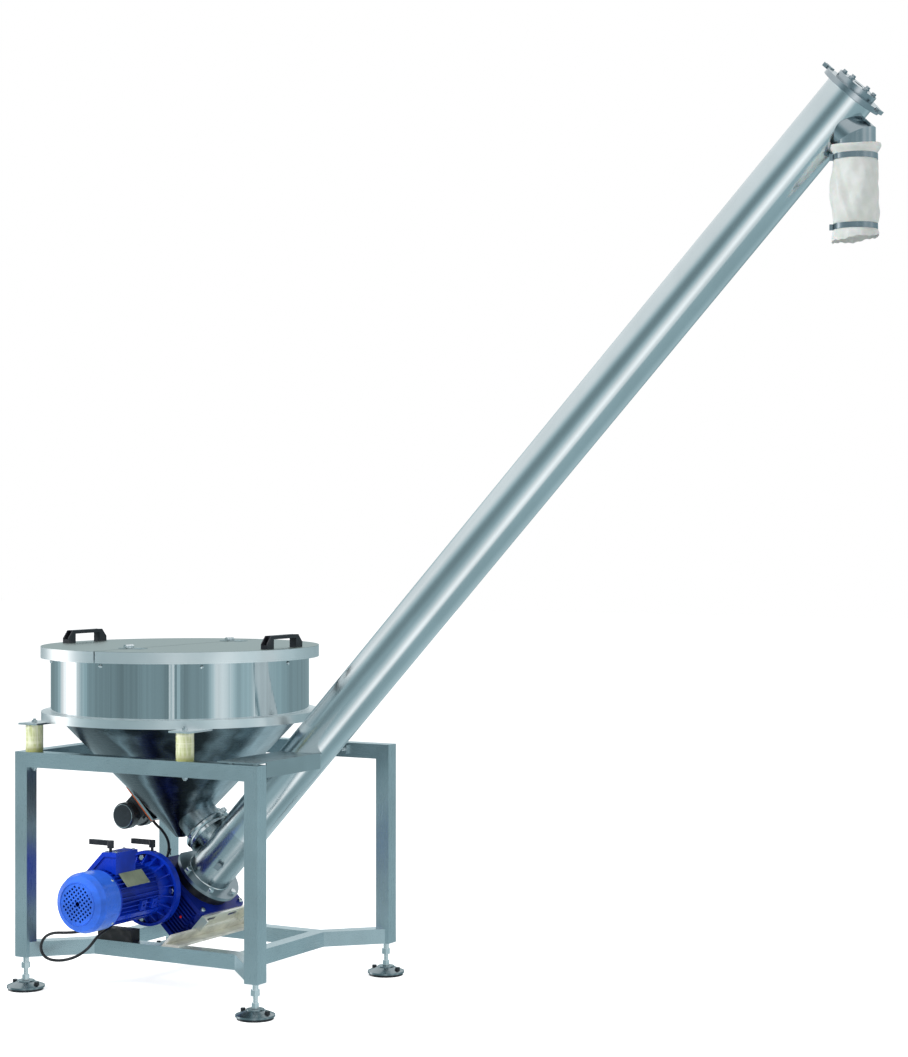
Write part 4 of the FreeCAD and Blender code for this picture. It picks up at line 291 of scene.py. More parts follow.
def buffer_rubber(name):
    """Translucent yellow-green rubber, clouded and banded, darker at its foot, with steel studs."""
    clear_tone, cloudy_tone = (0.80, 0.83, 0.60), (0.55, 0.60, 0.30)
    layer_tone, foot_tone = (0.90, 0.90, 0.74), (0.34, 0.36, 0.13)
    stud_tone = (0.55, 0.60, 0.62)
    edge = 0.0005
    foot_start, foot_end = STAND_TOP + 0.001, STAND_TOP + 0.031
    material, tree, shader = new_material(name)
    height = local_height(tree)
    streaks = noise(tree, local(tree, (40, 40, 4)), 3.0, 3.0)
    layers = noise(tree, local(tree, ROUND_Z), 2.0, 2.0)
    tone = blend_colours(tree, spread(tree, streaks, 0.4, 0.62), clear_tone, cloudy_tone)
    tone = blend_colours(tree, spread(tree, layers, 0.45, 0.7, 0.0, 0.6), tone, layer_tone)
    tone = blend_colours(tree, spread(tree, height, foot_start, foot_end, 1.0, 0.0), tone, foot_tone)
    low_stud = spread(tree, height, STAND_TOP - edge, STAND_TOP, 1.0, 0.0)
    high_stud = spread(tree, height, TAB_BOTTOM - edge, TAB_BOTTOM)
    metal = calc(tree, "ADD", low_stud, high_stud, clamp=True)
    link(tree, blend_colours(tree, metal, tone, stud_tone), shader.inputs["Base Color"])
    link(tree, metal, shader.inputs["Metallic"])
    link(tree, spread(tree, streaks, 0.3, 0.7, 0.22, 0.36), shader.inputs["Roughness"])
    shader.inputs["Subsurface Weight"].default_value = 0.25
    shader.inputs["Subsurface Radius"].default_value = (0.6, 0.6, 0.3)
    shader.inputs["Subsurface Scale"].default_value = 0.01
    link(tree, bump(tree, streaks, 0.25, 0.0002), shader.inputs["Normal"])
    return material


def cloth(name):
    """White woven polyester, thin enough to let light through."""
    shaded_tone, lit_tone, gap_tone = (0.64, 0.68, 0.64), (0.78, 0.80, 0.78), (0.44, 0.48, 0.45)
    material, tree, shader = new_material(name)
    weft, warp = [
        add(tree, "ShaderNodeTexWave", {"Vector": local(tree), "Scale": 420.0, "Distortion": 0.3},
            wave_type="BANDS", bands_direction=way).outputs["Fac"]
        for way in ("Z", "DIAGONAL")
    ]
    threads = calc(tree, "MULTIPLY", weft, warp)
    clouds = noise(tree, local(tree), 18.0, 3.0)
    tone = blend_colours(tree, spread(tree, clouds, 0.3, 0.7), shaded_tone, lit_tone)
    tone = blend_colours(tree, spread(tree, threads, 0.0, 0.5, 0.14, 0.0), tone, gap_tone)
    link(tree, tone, shader.inputs["Base Color"])
    shader.inputs["Roughness"].default_value = 0.7
    shader.inputs["Subsurface Weight"].default_value = 0.2
    shader.inputs["Subsurface Scale"].default_value = 0.01
    link(tree, bump(tree, threads, 0.5, 0.0002), shader.inputs["Normal"])
    return material


def foot_finish(name):
    """Bright stud on a dark satin pad, whose sole and side plugs are black rubber."""
    stud_tone, pad_tone, rubber_tone = (0.82, 0.86, 0.87), (0.26, 0.31, 0.33), (0.016, 0.018, 0.022)
    edge = 0.0002
    material = steel(name, stud_tone, 0.22, FINE_ROUND_Z)
    tree, shader = tree_and_shader(material)
    across, along, height = add(tree, "ShaderNodeSeparateXYZ", {0: local(tree)}).outputs
    from_middle = calc(tree, "ABSOLUTE", calc(tree, "SUBTRACT", calc(tree, "ABSOLUTE", across), FOOT_X))
    from_plug = calc(tree, "SUBTRACT", from_middle, PLUG_OFFSET)
    beside = calc(tree, "SUBTRACT", calc(tree, "ABSOLUTE", along), FOOT_Y)
    squares = [calc(tree, "MULTIPLY", way, way) for way in (from_plug, beside)]
    plug = calc(tree, "LESS_THAN", calc(tree, "ADD", *squares), PLUG_RADIUS ** 2)
    sole = spread(tree, height, SOLE_TOP - edge, SOLE_TOP + edge, 1.0, 0.0)
    rubber = calc(tree, "MAXIMUM", plug, sole)
    above_pad = spread(tree, height, COLLAR_TOP, COLLAR_TOP + 0.003)
    metal_tone = blend_colours(tree, above_pad, pad_tone, base_tone(shader))
    link(tree, blend_colours(tree, rubber, metal_tone, rubber_tone), shader.inputs["Base Color"])
    link(tree, calc(tree, "SUBTRACT", 1.0, rubber), shader.inputs["Metallic"])
    return material


# Painted highlights and painted shade on the cone, as bright and dark streaks: place from its left
# edge (0) to its right edge (1) as the camera sees them, and grey level.

CONE_PAINTED_LIGHT = [
    (0.0, 0.9), (0.10, 0.35), (0.22, 0.30), (0.29, 0.95), (0.36, 0.30), (0.44, 0.12), (0.50, 0.40),
    (0.54, 0.14), (0.62, 0.16), (0.70, 0.9), (0.77, 0.5), (0.86, 1.5), (1.0, 0.8),
]


def cone_finish(name):
    """Dark smooth cone with soft bright streaks that run down to its point: painted highlights and shade."""
    material = steel(name, DARK_STEEL, 0.28, ROUND_Z, spokes=4, wave=0.002)
    tree, shader = tree_and_shader(material)
    ways = {0: round_hopper(tree), 1: CAMERA_RIGHT}
    side = add(tree, "ShaderNodeVectorMath", ways, operation="DOT_PRODUCT").outputs["Value"]
    place = calc(tree, "MULTIPLY_ADD", side, 0.5, 0.5)
    sway = spread(tree, noise(tree, local(tree), 9.0, 2.0), 0.3, 0.7, -0.05, 0.05)
    # Painted highlights and painted shade, in streaks laid out across the camera's view.
    streaks = ramp(tree, calc(tree, "ADD", place, sway), CONE_PAINTED_LIGHT)
    tone = blend_colours(tree, 1.0, base_tone(shader), streaks, "MULTIPLY")
    link(tree, tone, shader.inputs["Base Color"])
    return material


def lid_finish(name):
    """Bright rolled rim round a duller brushed sheet."""
    rim_tone, sheet_tone = (0.94, 0.96, 0.97), (0.30, 0.37, 0.36)
    sheet_radius, edge = 0.458, 0.0015
    material = steel(name, rim_tone, 0.38, ROUND_Z)
    tree, shader = tree_and_shader(material)
    radius = add(tree, "ShaderNodeVectorMath", {0: from_hopper(tree)}, operation="LENGTH").outputs["Value"]
    inside = calc(tree, "LESS_THAN", radius, sheet_radius)
    sheet = calc(tree, "MAXIMUM", spread(tree, local_height(tree), LID_TOP - edge, LID_TOP), inside)
    link(tree, blend_colours(tree, sheet, base_tone(shader), sheet_tone), shader.inputs["Base Color"])
    link(tree, spread(tree, sheet, 0, 1, 0.36, 0.42), shader.inputs["Roughness"])
    return material


def make_materials():
    return {
        "rail_x": steel("stand_steel_x", STAND_STEEL, 0.30, ALONG_X),
        "rail_y": steel("stand_steel_y", STAND_STEEL, 0.30, ALONG_Y),
        "leg": steel("stand_steel_z", STAND_STEEL, 0.30, ALONG_Z),
        "foot": foot_finish("foot_steel"),
        "drum": steel("drum_steel", TUBE_STEEL, 0.07, ROUND_Z, smudge_and_sheen=0.10, wave=0.0008, spokes=14),
        "rim": steel("rim_steel", (0.84, 0.88, 0.89), 0.34, ROUND_Z),
        "lid": lid_finish("lid_steel"),
        "cone": cone_finish("cone_steel"),
        "spout": steel("spout_steel", (0.40, 0.46, 0.49), 0.20, ALONG_Z, smudge_and_sheen=0.12),
        "tube": steel("tube_steel", TUBE_STEEL, 0.20, ALONG_Z, TUBE_LEAN, smudge_and_sheen=0.03),
        "foot_tube": steel("foot_tube_steel", (0.46, 0.52, 0.54), 0.25, ALONG_Z, TUBE_LEAN),
        "foot_flange": steel("foot_flange_steel", DARK_STEEL, 0.32, ALONG_Z, TUBE_LEAN),
        "head": steel("head_steel", (0.38, 0.43, 0.46), 0.22, ALONG_Z, TUBE_LEAN),
        "bright": steel("bright_steel", (0.68, 0.73, 0.75), 0.18, ROUND_Z),
        "plate": steel("plate_steel", (0.50, 0.57, 0.59), 0.30, ALONG_X),
        "zinc": steel("zinc", (0.93, 0.92, 0.83), 0.38, MOTTLED, smudge_and_sheen=0.12),
        "cream": paint("cream_coat", (0.86, 0.86, 0.77), 0.45, dust=0.1, coat=0.1),
        "black": moulded("black_plastic", (0.012, 0.013, 0.018), 0.38),
        "rubber": moulded("black_rubber", (0.010, 0.011, 0.012), 0.62),
        "seal": moulded("seal_black", (0.008, 0.009, 0.012), 0.36),
        "gear_blue": paint("gear_blue", (0.002, 0.018, 0.26), 0.30),
        "motor_blue": paint("motor_blue", (0.003, 0.038, 0.50), 0.30),
        "cover_blue": paint("cover_blue", (0.035, 0.16, 0.80), 0.28, coat=0.2),
        "grey": paint("vibrator_grey", (0.040, 0.052, 0.060), 0.34, dust=0.2, coat=0.4),
        "buffer": buffer_rubber("buffer_rubber"),
        "cloth": cloth("sleeve_cloth"),
        "cable": moulded("cable_black", (0.010, 0.010, 0.012), 0.42),
        "dark_bolt": steel("dark_bolt_steel", (0.30, 0.35, 0.38), 0.24, ROUND_Z),
        "nameplate": paint("nameplate_metal", (0.36, 0.42, 0.29), 0.40),
        "red": paint("red_cap", (0.70, 0.010, 0.008), 0.35),
        "orange": moulded("orange_gasket", (0.62, 0.11, 0.006), 0.5),
    }


# Finish of each node of the model: by its name or, for sets of alike nodes, by how its name starts.

FINISHES = {
    "top_rail_left": "rail_y", "lower_bar_left": "rail_y", "lower_bar_right": "rail_y",
    "hopper_drum": "drum", "hopper_ring": "rim", "hopper_cone": "cone", "hopper_neck": "cone",
    "lid_fixed_leaf": "lid", "lid_hinged_leaf": "lid", "neck_clamp": "bright", "inlet_stub": "foot_tube",
    "auger_tube": "tube", "auger_screw": "tube", "discharge_spout": "spout", "head_cover": "head",
    "head_flange": "head", "foot_flange": "foot_flange", "shaft_seal": "seal",
    "gear_housing": "gear_blue", "motor_flange": "motor_blue", "motor": "motor_blue",
    "terminal_box": "motor_blue", "fan_cover": "cover_blue", "clamp_levers": "black",
    "gear_bracket": "zinc", "support_angle": "cream", "support_block": "rubber", "saddle_plate": "plate",
    "rail_lug": "bright", "vibrator": "grey", "vibrator_plate": "plate", "vibrator_lead": "cable",
    "sleeve_bands": "bright", "spout_sleeve": "cloth",
}
FINISHES_BY_START = {
    "top_rail": "rail_x", "lower_bar": "rail_x", "leg_": "leg", "mount_": "buffer", "foot_": "foot",
    "lid_handle": "black", "lid_hinge_": "bright",
}


def finish_of(name):
    if name in FINISHES:
        return FINISHES[name]
    return next(finish for start, finish in FINISHES_BY_START.items() if name.startswith(start))


def dress_nodes():
    for name, thing in nodes.items():
        for slot in thing.material_slots:
            slot.material = MATERIALS[finish_of(name)]


# Frames of the places that carry pieces, from the shared sizes and the boxes of the model's nodes.

def frame_at(place, outward, across=(1, 0, 0)):
    """Frame at a place: its Z axis points outward and its X axis leans towards across."""
    up = Vector(outward).normalized()
    side = Vector(across)
    side = (side - up * side.dot(up)).normalized()
    turn = Matrix((side, up.cross(side), up)).transposed().to_4x4()
    return Matrix.Translation(place) @ turn


def moved(frame, *way):
    return frame @ Matrix.Translation(way)


def swung(frame, degrees):
    """Frame turned round its own Z axis."""
    return frame @ Matrix.Rotation(math.radians(degrees), 4, "Z")


def polar(radius, degrees, height=0.0):
    angle = math.radians(degrees)
    return Vector((radius * math.cos(angle), radius * math.sin(angle), height))


def middle(name):
    low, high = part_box(name)
    return (low + high) / 2


HOPPER_FRAME = Matrix.Translation((HOPPER_X, 0, 0))
HEAD_FRAME = moved(TUBE_FRAME, 0, 0, TUBE_LENGTH)
MOTOR_X = middle("fan_cover").x
MOTOR_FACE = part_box("motor_flange")[1].y
MOTOR_FRAME = frame_at((MOTOR_X, MOTOR_FACE, middle("fan_cover").z), (0, -1, 0))
SLEEVE_FRAME = Matrix.Translation((middle("spout_sleeve").x, 0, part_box("spout_sleeve")[0].z))
PLATE_TURN = Matrix.Rotation(math.atan2(CONE_DROP, CONE_RUN) - math.pi, 4, "Y")
PLATE_FRAME = moved(Matrix.Translation(middle("vibrator_plate")) @ PLATE_TURN, 0, 0, -PLATE_SHEET / 2)


# Mesh building: each piece is one mesh of turned, six-sided and flat solids.

def turned(mesh, frame, outline, steps=24):
    """Solid of revolution round the frame's Z axis; the outline holds radius and height."""
    rings = []
    for radius, height in outline:
        turns = [360 * index / steps for index in range(steps if radius > 1e-6 else 1)]
        rings.append([mesh.verts.new(frame @ polar(radius, degrees, height)) for degrees in turns])
    for low, high in zip(rings, rings[1:]):
        for index in range(steps):
            after = index + 1
            corners = (low[index % len(low)], low[after % len(low)],
                       high[after % len(high)], high[index % len(high)])
            mesh.faces.new(dict.fromkeys(corners))


def disc(mesh, frame, radius, height, steps=24):
    turned(mesh, frame, [(0, 0), (radius, 0), (radius, height), (0, height)], steps)


def ring(mesh, frame, inner, outer, half_height, steps=24):
    outline = [(inner, -half_height), (outer, -half_height), (outer, half_height), (inner, half_height)]
    turned(mesh, frame, [*outline, outline[0]], steps)


def slab(mesh, frame, low, high):
    """Box between two corners given in the frame."""
    low, high = Vector(low), Vector(high)
    size = Matrix.Diagonal((*(high - low), 1))
    bmesh.ops.create_cube(mesh, size=1, matrix=frame @ Matrix.Translation((low + high) / 2) @ size)


def rod(mesh, start, end, radius):
    """Round rod between two points."""
    across = (0.3, 0.9, 0.2)
    disc(mesh, frame_at(start, end - start, across), radius, (end - start).length, steps=12)


def hexagon_bolt(mesh, frame, flats, height, washer=0.0, washer_height=0.0018):
    """Hexagon head, on a washer where a washer's radius is given."""
    corner = flats / math.sqrt(3)
    if washer:
        disc(mesh, frame, washer, washer_height)
    outline = [(0, 0), (corner, 0), (corner, height * 0.84), (corner * 0.86, height), (0, height)]
    turned(mesh, frame, outline, steps=6)


def socket_bolt(mesh, frame, radius, height):
    """Round head with a deep socket."""
    turned(mesh, frame, [(0, 0), (radius, 0), (radius, height * 0.9), (radius * 0.93, height),
                         (radius * 0.55, height), (radius * 0.5, height * 0.4), (0, height * 0.4)], steps=20)


def dome_screw(mesh, frame, radius, height):
    """Round head whose lowest quarter is straight."""
    rise = [math.radians(angle) for angle in (0, 22, 45, 68)]
    arc = [(radius * math.cos(angle), height * (0.25 + 0.75 * math.sin(angle))) for angle in rise]
    turned(mesh, frame, [(0, 0), (radius, 0), *arc, (0, height)], steps=20)


def finish_mesh(mesh, name, finish, crease=38):
    """Object from the mesh, smooth up to the crease angle, that rides on the elevator."""
    bmesh.ops.recalc_face_normals(mesh, faces=mesh.faces)
    for face in mesh.faces:
        face.smooth = True
    for edge in mesh.edges:
        edge.smooth = len(edge.link_faces) == 2 and edge.calc_face_angle() < math.radians(crease)
    data = bpy.data.meshes.new(name)
    mesh.to_mesh(data)
    mesh.free()
    data.materials.append(MATERIALS[finish])
    thing = bpy.data.objects.new(name, data)
    bpy.context.scene.collection.objects.link(thing)
    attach(thing, "elevator")
    return thing


# Fasteners and trim of the hopper, the tube and the drive.

def drum_screws():
    """Dome screws on the drum, just under the lid's rim."""
    level = 1.081
    mesh = bmesh.new()
    for degrees in range(0, 360, 45):
        place = HOPPER_FRAME @ polar(DRUM_RADIUS, degrees, level)
        dome_screw(mesh, frame_at(place, polar(1, degrees), (0, 0, 1)), radius=0.0065, height=0.0055)
    finish_mesh(mesh, "drum_screws", "bright")


def foot_flange_bolts():
    """Hexagon bolts on the lower flange; the place beside its flat stays free."""
    pitch_radius = 0.1015
    mesh = bmesh.new()
    for degrees in (-105, -45, 15, 75, 135):
        hexagon_bolt(mesh, moved(TUBE_FRAME, *polar(pitch_radius, degrees)), flats=0.019, height=0.0125)
    finish_mesh(mesh, "foot_flange_bolts", "bright")


def head_bolts():
    """Six bolts on the bearing housing, the pin through the fork and the swing bolt on it."""
    pitch_radius, first_bolt, cover_top = 0.053, 20, 0.026
    mesh = bmesh.new()
    for index in range(6):
        seat = moved(HEAD_FRAME, *polar(pitch_radius, 60 * index + first_bolt, cover_top))
        hexagon_bolt(mesh, seat, flats=0.013, height=0.0085, washer=0.0095)
    fork_pin = HEAD_FRAME @ frame_at((-0.108, -0.019, 0.006), (0, 1, 0))
    disc(mesh, fork_pin, radius=0.0055, height=0.038, steps=16)
    swing_bolt = HEAD_FRAME @ frame_at((-0.095, 0, 0.016), (1, 0, 0))
    disc(mesh, swing_bolt, radius=0.0035, height=0.032, steps=12)
    finish_mesh(mesh, "head_bolts", "dark_bolt")


def motor_flange_bolts():
    """Bright bolts on dark washers in the dished flange of the motor."""
    pitch_radius, dish_level, washer_height = 0.1035, 0.011, 0.003
    bolts, washers = bmesh.new(), bmesh.new()
    for degrees in (0, 100, 180, 260):
        seat = moved(MOTOR_FRAME, *polar(pitch_radius, degrees, dish_level))
        disc(washers, seat, radius=0.0118, height=washer_height)
        hexagon_bolt(bolts, moved(seat, 0, 0, washer_height), flats=0.018, height=0.0125)
    finish_mesh(bolts, "motor_flange_bolts", "bright")
    finish_mesh(washers, "motor_flange_washers", "black")


def gear_bolts():
    """Bolts in the corners of the gear housing's upper plate."""
    reach, plate_level = 0.108, -0.046
    mesh = bmesh.new()
    for across in (-reach, reach):
        for side in (-reach, reach):
            socket_bolt(mesh, moved(TUBE_FRAME, across, side, plate_level), radius=0.0085, height=0.008)
    finish_mesh(mesh, "gear_bolts", "bright")


def gear_plug():
    """Small red cap on the front of the gear housing."""
    sunk = 0.002
    place = (-0.008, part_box("gear_housing")[0].y + sunk, 0.2396)
    mesh = bmesh.new()
    dome_screw(mesh, frame_at(place, (0, -1, 0)), radius=0.0042, height=0.004)
    finish_mesh(mesh, "gear_plug", "red")


def fan_cover_screws():
    cover_radius, along_motor = 0.0968, 0.292
    mesh = bmesh.new()
    for degrees in (45, 135, 225, 315):
        place = MOTOR_FRAME @ polar(cover_radius, degrees, along_motor)
        outward = MOTOR_FRAME.to_3x3() @ polar(1, degrees)
        dome_screw(mesh, frame_at(place, outward, (0, 1, 0)), radius=0.005, height=0.0035)
    finish_mesh(mesh, "fan_cover_screws", "bright")


def nameplate():
    """Bare plate on the fins, held by a pin in each corner."""
    fin_radius, along_motor, round_motor = 0.0922, 0.177, 41.5
    sheet, half_width, half_length = 0.0012, 0.027, 0.060
    pin_across, pin_along = 0.023, 0.055
    frame = moved(swung(MOTOR_FRAME, round_motor), fin_radius, 0, along_motor)
    plate, pins = bmesh.new(), bmesh.new()
    slab(plate, frame, (0, -half_width, -half_length), (sheet, half_width, half_length))
    for across in (-pin_across, pin_across):
        for along in (-pin_along, pin_along):
            pin = frame @ frame_at((sheet, across, along), (1, 0, 0), (0, 1, 0))
            dome_screw(pins, pin, radius=0.0022, height=0.0014)
    finish_mesh(plate, "nameplate", "nameplate")
    finish_mesh(pins, "nameplate_pins", "bright")


def terminal_screws():
    """Four screws on the flat of the terminal box's lid."""
    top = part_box("terminal_box")[1].z
    mesh = bmesh.new()
    for across in (0.008, 0.046):
        for along in (0.152, 0.244):
            place = (MOTOR_X + across, MOTOR_FACE - along, top)
            socket_bolt(mesh, frame_at(place, (0, 0, 1)), radius=0.0045, height=0.0035)
    finish_mesh(mesh, "terminal_screws", "bright")


def gasket():
    """Orange sealing sheet between the vibrator's foot and its plate."""
    lower_end, upper_end, half_width = -0.074, 0.078, 0.055
    bottom, top = 0.0078, 0.0125
    mesh = bmesh.new()
    slab(mesh, PLATE_FRAME, (lower_end, -half_width, bottom), (upper_end, half_width, top))
    finish_mesh(mesh, "vibrator_gasket", "orange")


def vibrator_rim_highlights():
    """Bright steel ring on the edge of both end caps of the vibrator: a painted rim highlight."""
    shift, half_length, rise = 0.012, 0.065, 0.085
    inner, outer, bevel, sunk = 0.0382, 0.04, 0.0008, 0.002
    outline = [(inner, -sunk), (outer, -sunk), (outer, 0.0), (outer - bevel, bevel), (inner, bevel)]
    mesh = bmesh.new()
    for side in (-1, 1):
        frame = PLATE_FRAME @ frame_at((shift, side * half_length, rise), (0, side, 0))
        turned(mesh, frame, [*outline, outline[0]], steps=64)
    finish_mesh(mesh, "vibrator_rim_highlights", "bright")


def tube_latch():
    """Welded hook for the clamp's catch on the front of the tube: a plate, two cheeks and a pin."""
    tube_radius, along_tube, round_tube = 0.0765, 0.086, -62
    plate_sheet, half_width, half_length = 0.004, 0.010, 0.017
    cheek_inside, cheek_low, cheek_high, cheek_top = 0.0065, 0.006, 0.015, 0.016
    pin_half, pin_out, pin_level = 0.013, 0.012, 0.0105
    frame = moved(swung(TUBE_FRAME, round_tube), tube_radius, 0, along_tube)
    mesh = bmesh.new()
    slab(mesh, frame, (0, -half_width, -half_length), (plate_sheet, half_width, half_length))
    for start, end in ((-half_width, -cheek_inside), (cheek_inside, half_width)):
        slab(mesh, frame, (plate_sheet, start, cheek_low), (cheek_top, end, cheek_high))
    pin_start, pin_end = [frame @ Vector((pin_out, side, pin_level)) for side in (-pin_half, pin_half)]
    rod(mesh, pin_start, pin_end, radius=0.0028)
    finish_mesh(mesh, "tube_latch", "dark_bolt")


def weld_beads():
    """Fine weld beads where the tube meets its flanges."""
    flange_sheet = 0.008
    bead = [(0.0768, 0.0), (0.0800, 0.0004), (0.0793, 0.0016), (0.0768, 0.0030)]
    upside_down = [(radius, -level) for radius, level in bead]
    mesh = bmesh.new()
    turned(mesh, TUBE_FRAME, bead, steps=64)
    turned(mesh, moved(HEAD_FRAME, 0, 0, -flange_sheet), upside_down, steps=64)
    finish_mesh(mesh, "weld_beads", "tube")


# Black lead of the vibrator: a smooth curve along the route of the model, whose points are
# written in millimetres.

LEAD_DIAMETER = 0.0095
TIE_POINT = 28
LEAD_POINTS = [Vector(point) / 1000 for point in (
    (-218.2, -322, 393), (-246, -322, 393), (-267, -321, 373), (-277, -318, 340), (-277, -313, 303),
    (-266, -312, 266), (-243, -322, 232), (-226, -350, 213), (-238, -388, 207), (-276, -412, 205),
    (-322, -420, 203), (-357, -421, 187), (-374, -422, 157), (-367, -421, 128), (-340, -419, 112),
    (-288, -417, 113), (-229, -415, 131), (-184, -408, 163), (-162, -392, 201), (-156, -350, 216),
    (-175, -297, 222), (-209, -250, 231), (-238, -197, 236), (-258, -138, 240), (-268, -78, 258),
    (-266, -22, 292), (-250, 30, 334), (-228, 66, 378), (-208, 60, 422), (-197, 38, 460),
    (-203, 14, 494), (-220.7, 0, 514.6), (-234.6, 0, 529),
)]


def cable_tie():
    """Tie round the lead, with its lock and its cut tail."""
    lock_start, lock_end, tail_end = 0.0055, 0.0125, 0.030
    along = LEAD_POINTS[TIE_POINT + 1] - LEAD_POINTS[TIE_POINT - 1]
    frame = frame_at(LEAD_POINTS[TIE_POINT], along, (1, -1, 0.2))
    mesh = bmesh.new()
    ring(mesh, frame, inner=0.0051, outer=0.0064, half_height=0.0024)
    slab(mesh, frame, (lock_start, -0.0035, -0.0032), (lock_end, 0.0035, 0.0032))
    slab(mesh, frame, (lock_end, -0.0022, -0.0007), (tail_end, 0.0022, 0.0007))
    return finish_mesh(mesh, "cable_tie", "cable")


def vibrator_lead():
    data = bpy.data.curves.new("lead", "CURVE")
    data.dimensions = "3D"
    data.resolution_u = 12
    data.bevel_depth = LEAD_DIAMETER / 2
    data.bevel_resolution = 4
    data.use_fill_caps = True
    spline = data.splines.new("NURBS")
    spline.points.add(len(LEAD_POINTS) - 1)
    for point, place in zip(spline.points, LEAD_POINTS):
        point.co = (*place, 1)
    spline.order_u = 3
    spline.use_endpoint_u = True
    data.materials.append(MATERIALS["cable"])
    thing = bpy.data.objects.new("lead", data)
    bpy.context.scene.collection.objects.link(thing)
    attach(thing, "elevator")
    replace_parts(thing, "vibrator_lead")
    cable_tie()


# Cloth sleeve: a sewn tube, rolled out at its top, gathered by two bands, with a ragged hem.
# The outline holds level and radius; the folds hold depth, count round the sleeve, twist and start.

SLEEVE_OUTLINE = [
    (0.000, 0.0668), (0.018, 0.0670), (0.033, 0.0642), (0.038, 0.0624), (0.054, 0.0624), (0.060, 0.0645),
    (0.090, 0.0675), (0.140, 0.0678), (0.195, 0.0664), (0.232, 0.0640), (0.238, 0.0624), (0.254, 0.0624),
    (0.259, 0.0645), (0.267, 0.0700), (0.2745, 0.0735), (0.2800, 0.0722), (0.2795, 0.0690), (0.275, 0.0652),
    (0.267, 0.0615),
]
SLEEVE_STEPS = 160
SLEEVE_ROW_STEPS = 4
SLEEVE_RIGHT = math.radians(19)
FOLDS = [(0.0040, 3, 5, 0.7), (0.0030, 7, -8, 0.0), (0.0012, 13, 15, 1.1)]
CREASE_START, CREASE_END = math.radians(-138), math.radians(-84)
LOW_BAND, HIGH_BAND = 0.046, 0.246
BAND_INNER, BAND_OUTER, BAND_HALF = 0.0628, 0.0644, 0.008


def within_one(value):
    return min(1, max(0, value))


def sleeve_point(angle, level, radius):
    share = (level - LOW_BAND) / (HIGH_BAND - LOW_BAND)
    free = math.sin(math.pi * within_one(share))
    cuff = within_one((level - HIGH_BAND - BAND_HALF) / 0.03)
    hem = within_one((LOW_BAND - 0.006 - level) / 0.04)
    folds = 0
    for depth, count, twist, start in FOLDS:
        folds += depth * math.sin(count * angle + twist * share + start)
    crease_angle = CREASE_END + (CREASE_START - CREASE_END) * share
    crease = math.remainder(angle - crease_angle, 2 * math.pi)
    ridge = 0.0075 * math.exp(-(crease / 0.09) ** 2)
    valley = 0.0045 * math.exp(-((crease - 0.26) / 0.13) ** 2)
    folds += ridge - valley
    pleats = 0.0011 * math.sin(17 * angle + 2.5 * math.sin(3 * angle)) + 0.0016 * math.sin(4 * angle + 2)
    ragged = 0.0022 * math.sin(5 * angle + 1) + 0.0012 * math.sin(17 * angle + 2)
    radius += free * folds + (hem + 0.8 * cuff) * pleats
    level += hem * (0.008 * (1 + math.cos(angle - SLEEVE_RIGHT)) + ragged + 0.0035)
    level += cuff * 0.0035 * math.sin(2 * angle + 1.4)
    return Vector((radius * math.cos(angle), radius * math.sin(angle), level))


def sleeve_rows():
    """Level and radius of each row, with a few rows between two points of the outline."""
    rows = []
    for (level, radius), (next_level, next_radius) in zip(SLEEVE_OUTLINE, SLEEVE_OUTLINE[1:]):
        for step in range(SLEEVE_ROW_STEPS):
            part = step / SLEEVE_ROW_STEPS
            rows.append((level + (next_level - level) * part, radius + (next_radius - radius) * part))
    return [*rows, SLEEVE_OUTLINE[-1]]


def sleeve_bands():
    """Two worm-drive bands with their screw housings on the left and loose tails."""
    round_sleeve, tail_lift = -158, 24
    rise, half_length, half_width = 0.009, 0.010, 0.0075
    mesh = bmesh.new()
    for level in (LOW_BAND, HIGH_BAND):
        band = moved(SLEEVE_FRAME, 0, 0, level)
        ring(mesh, band, BAND_INNER, BAND_OUTER, BAND_HALF, steps=96)
        housing = moved(swung(band, round_sleeve), BAND_OUTER, 0, 0)
        slab(mesh, housing, (0, -half_length, -half_width), (rise, half_length, half_width))
        screw = housing @ frame_at((rise / 2, -half_length, 0), (0, -1, 0))
        hexagon_bolt(mesh, screw, flats=0.008, height=0.007)
        slab(mesh, swung(housing, tail_lift), (0.001, half_length, -0.005), (0.0018, 0.036, 0.005))
    thing = finish_mesh(mesh, "sleeve_clamps", "dark_bolt")
    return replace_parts(thing, "sleeve_bands")


def sleeve():
    mesh = bmesh.new()
    angles = [2 * math.pi * index / SLEEVE_STEPS for index in range(SLEEVE_STEPS)]
    rows = [[mesh.verts.new(SLEEVE_FRAME @ sleeve_point(angle, level, radius)) for angle in angles]
            for level, radius in sleeve_rows()]
    for low, high in zip(rows, rows[1:]):
        for index in range(SLEEVE_STEPS):
            after = (index + 1) % SLEEVE_STEPS
            mesh.faces.new((low[index], low[after], high[after], high[index]))
    inner = [vertex for vertex in mesh.verts if not vertex.is_boundary]
    bmesh.ops.smooth_vert(mesh, verts=inner, factor=0.5, use_axis_x=True, use_axis_y=True, use_axis_z=True)
    thing = finish_mesh(mesh, "cloth_sleeve", "cloth", crease=80)
    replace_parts(thing, "spout_sleeve")
    sleeve_bands()


def dress():
    drum_screws()
    foot_flange_bolts()
    head_bolts()
    motor_flange_bolts()
    gear_bolts()
    gear_plug()
    fan_cover_screws()
    nameplate()
    terminal_screws()
    gasket()
    vibrator_rim_highlights()
    tube_latch()
    weld_beads()
    vibrator_lead()
    sleeve()


# Light: a plain pale world, three soft lamps, and in reflections a studio with soft bands.
# A band holds a direction, in degrees from the camera, and a grey level.

WHITE = (1.0, 1.0, 1.0)


def bearing(degrees):
    """Share of the full turn for a direction given in degrees clockwise from the camera."""
    towards_camera = math.degrees(math.atan2(-CAMERA_AIM.x, -CAMERA_AIM.y))
    return ((towards_camera - degrees + 180) % 360) / 360


def bands(levels):
    return sorted((bearing(degrees), level) for degrees, level in levels)


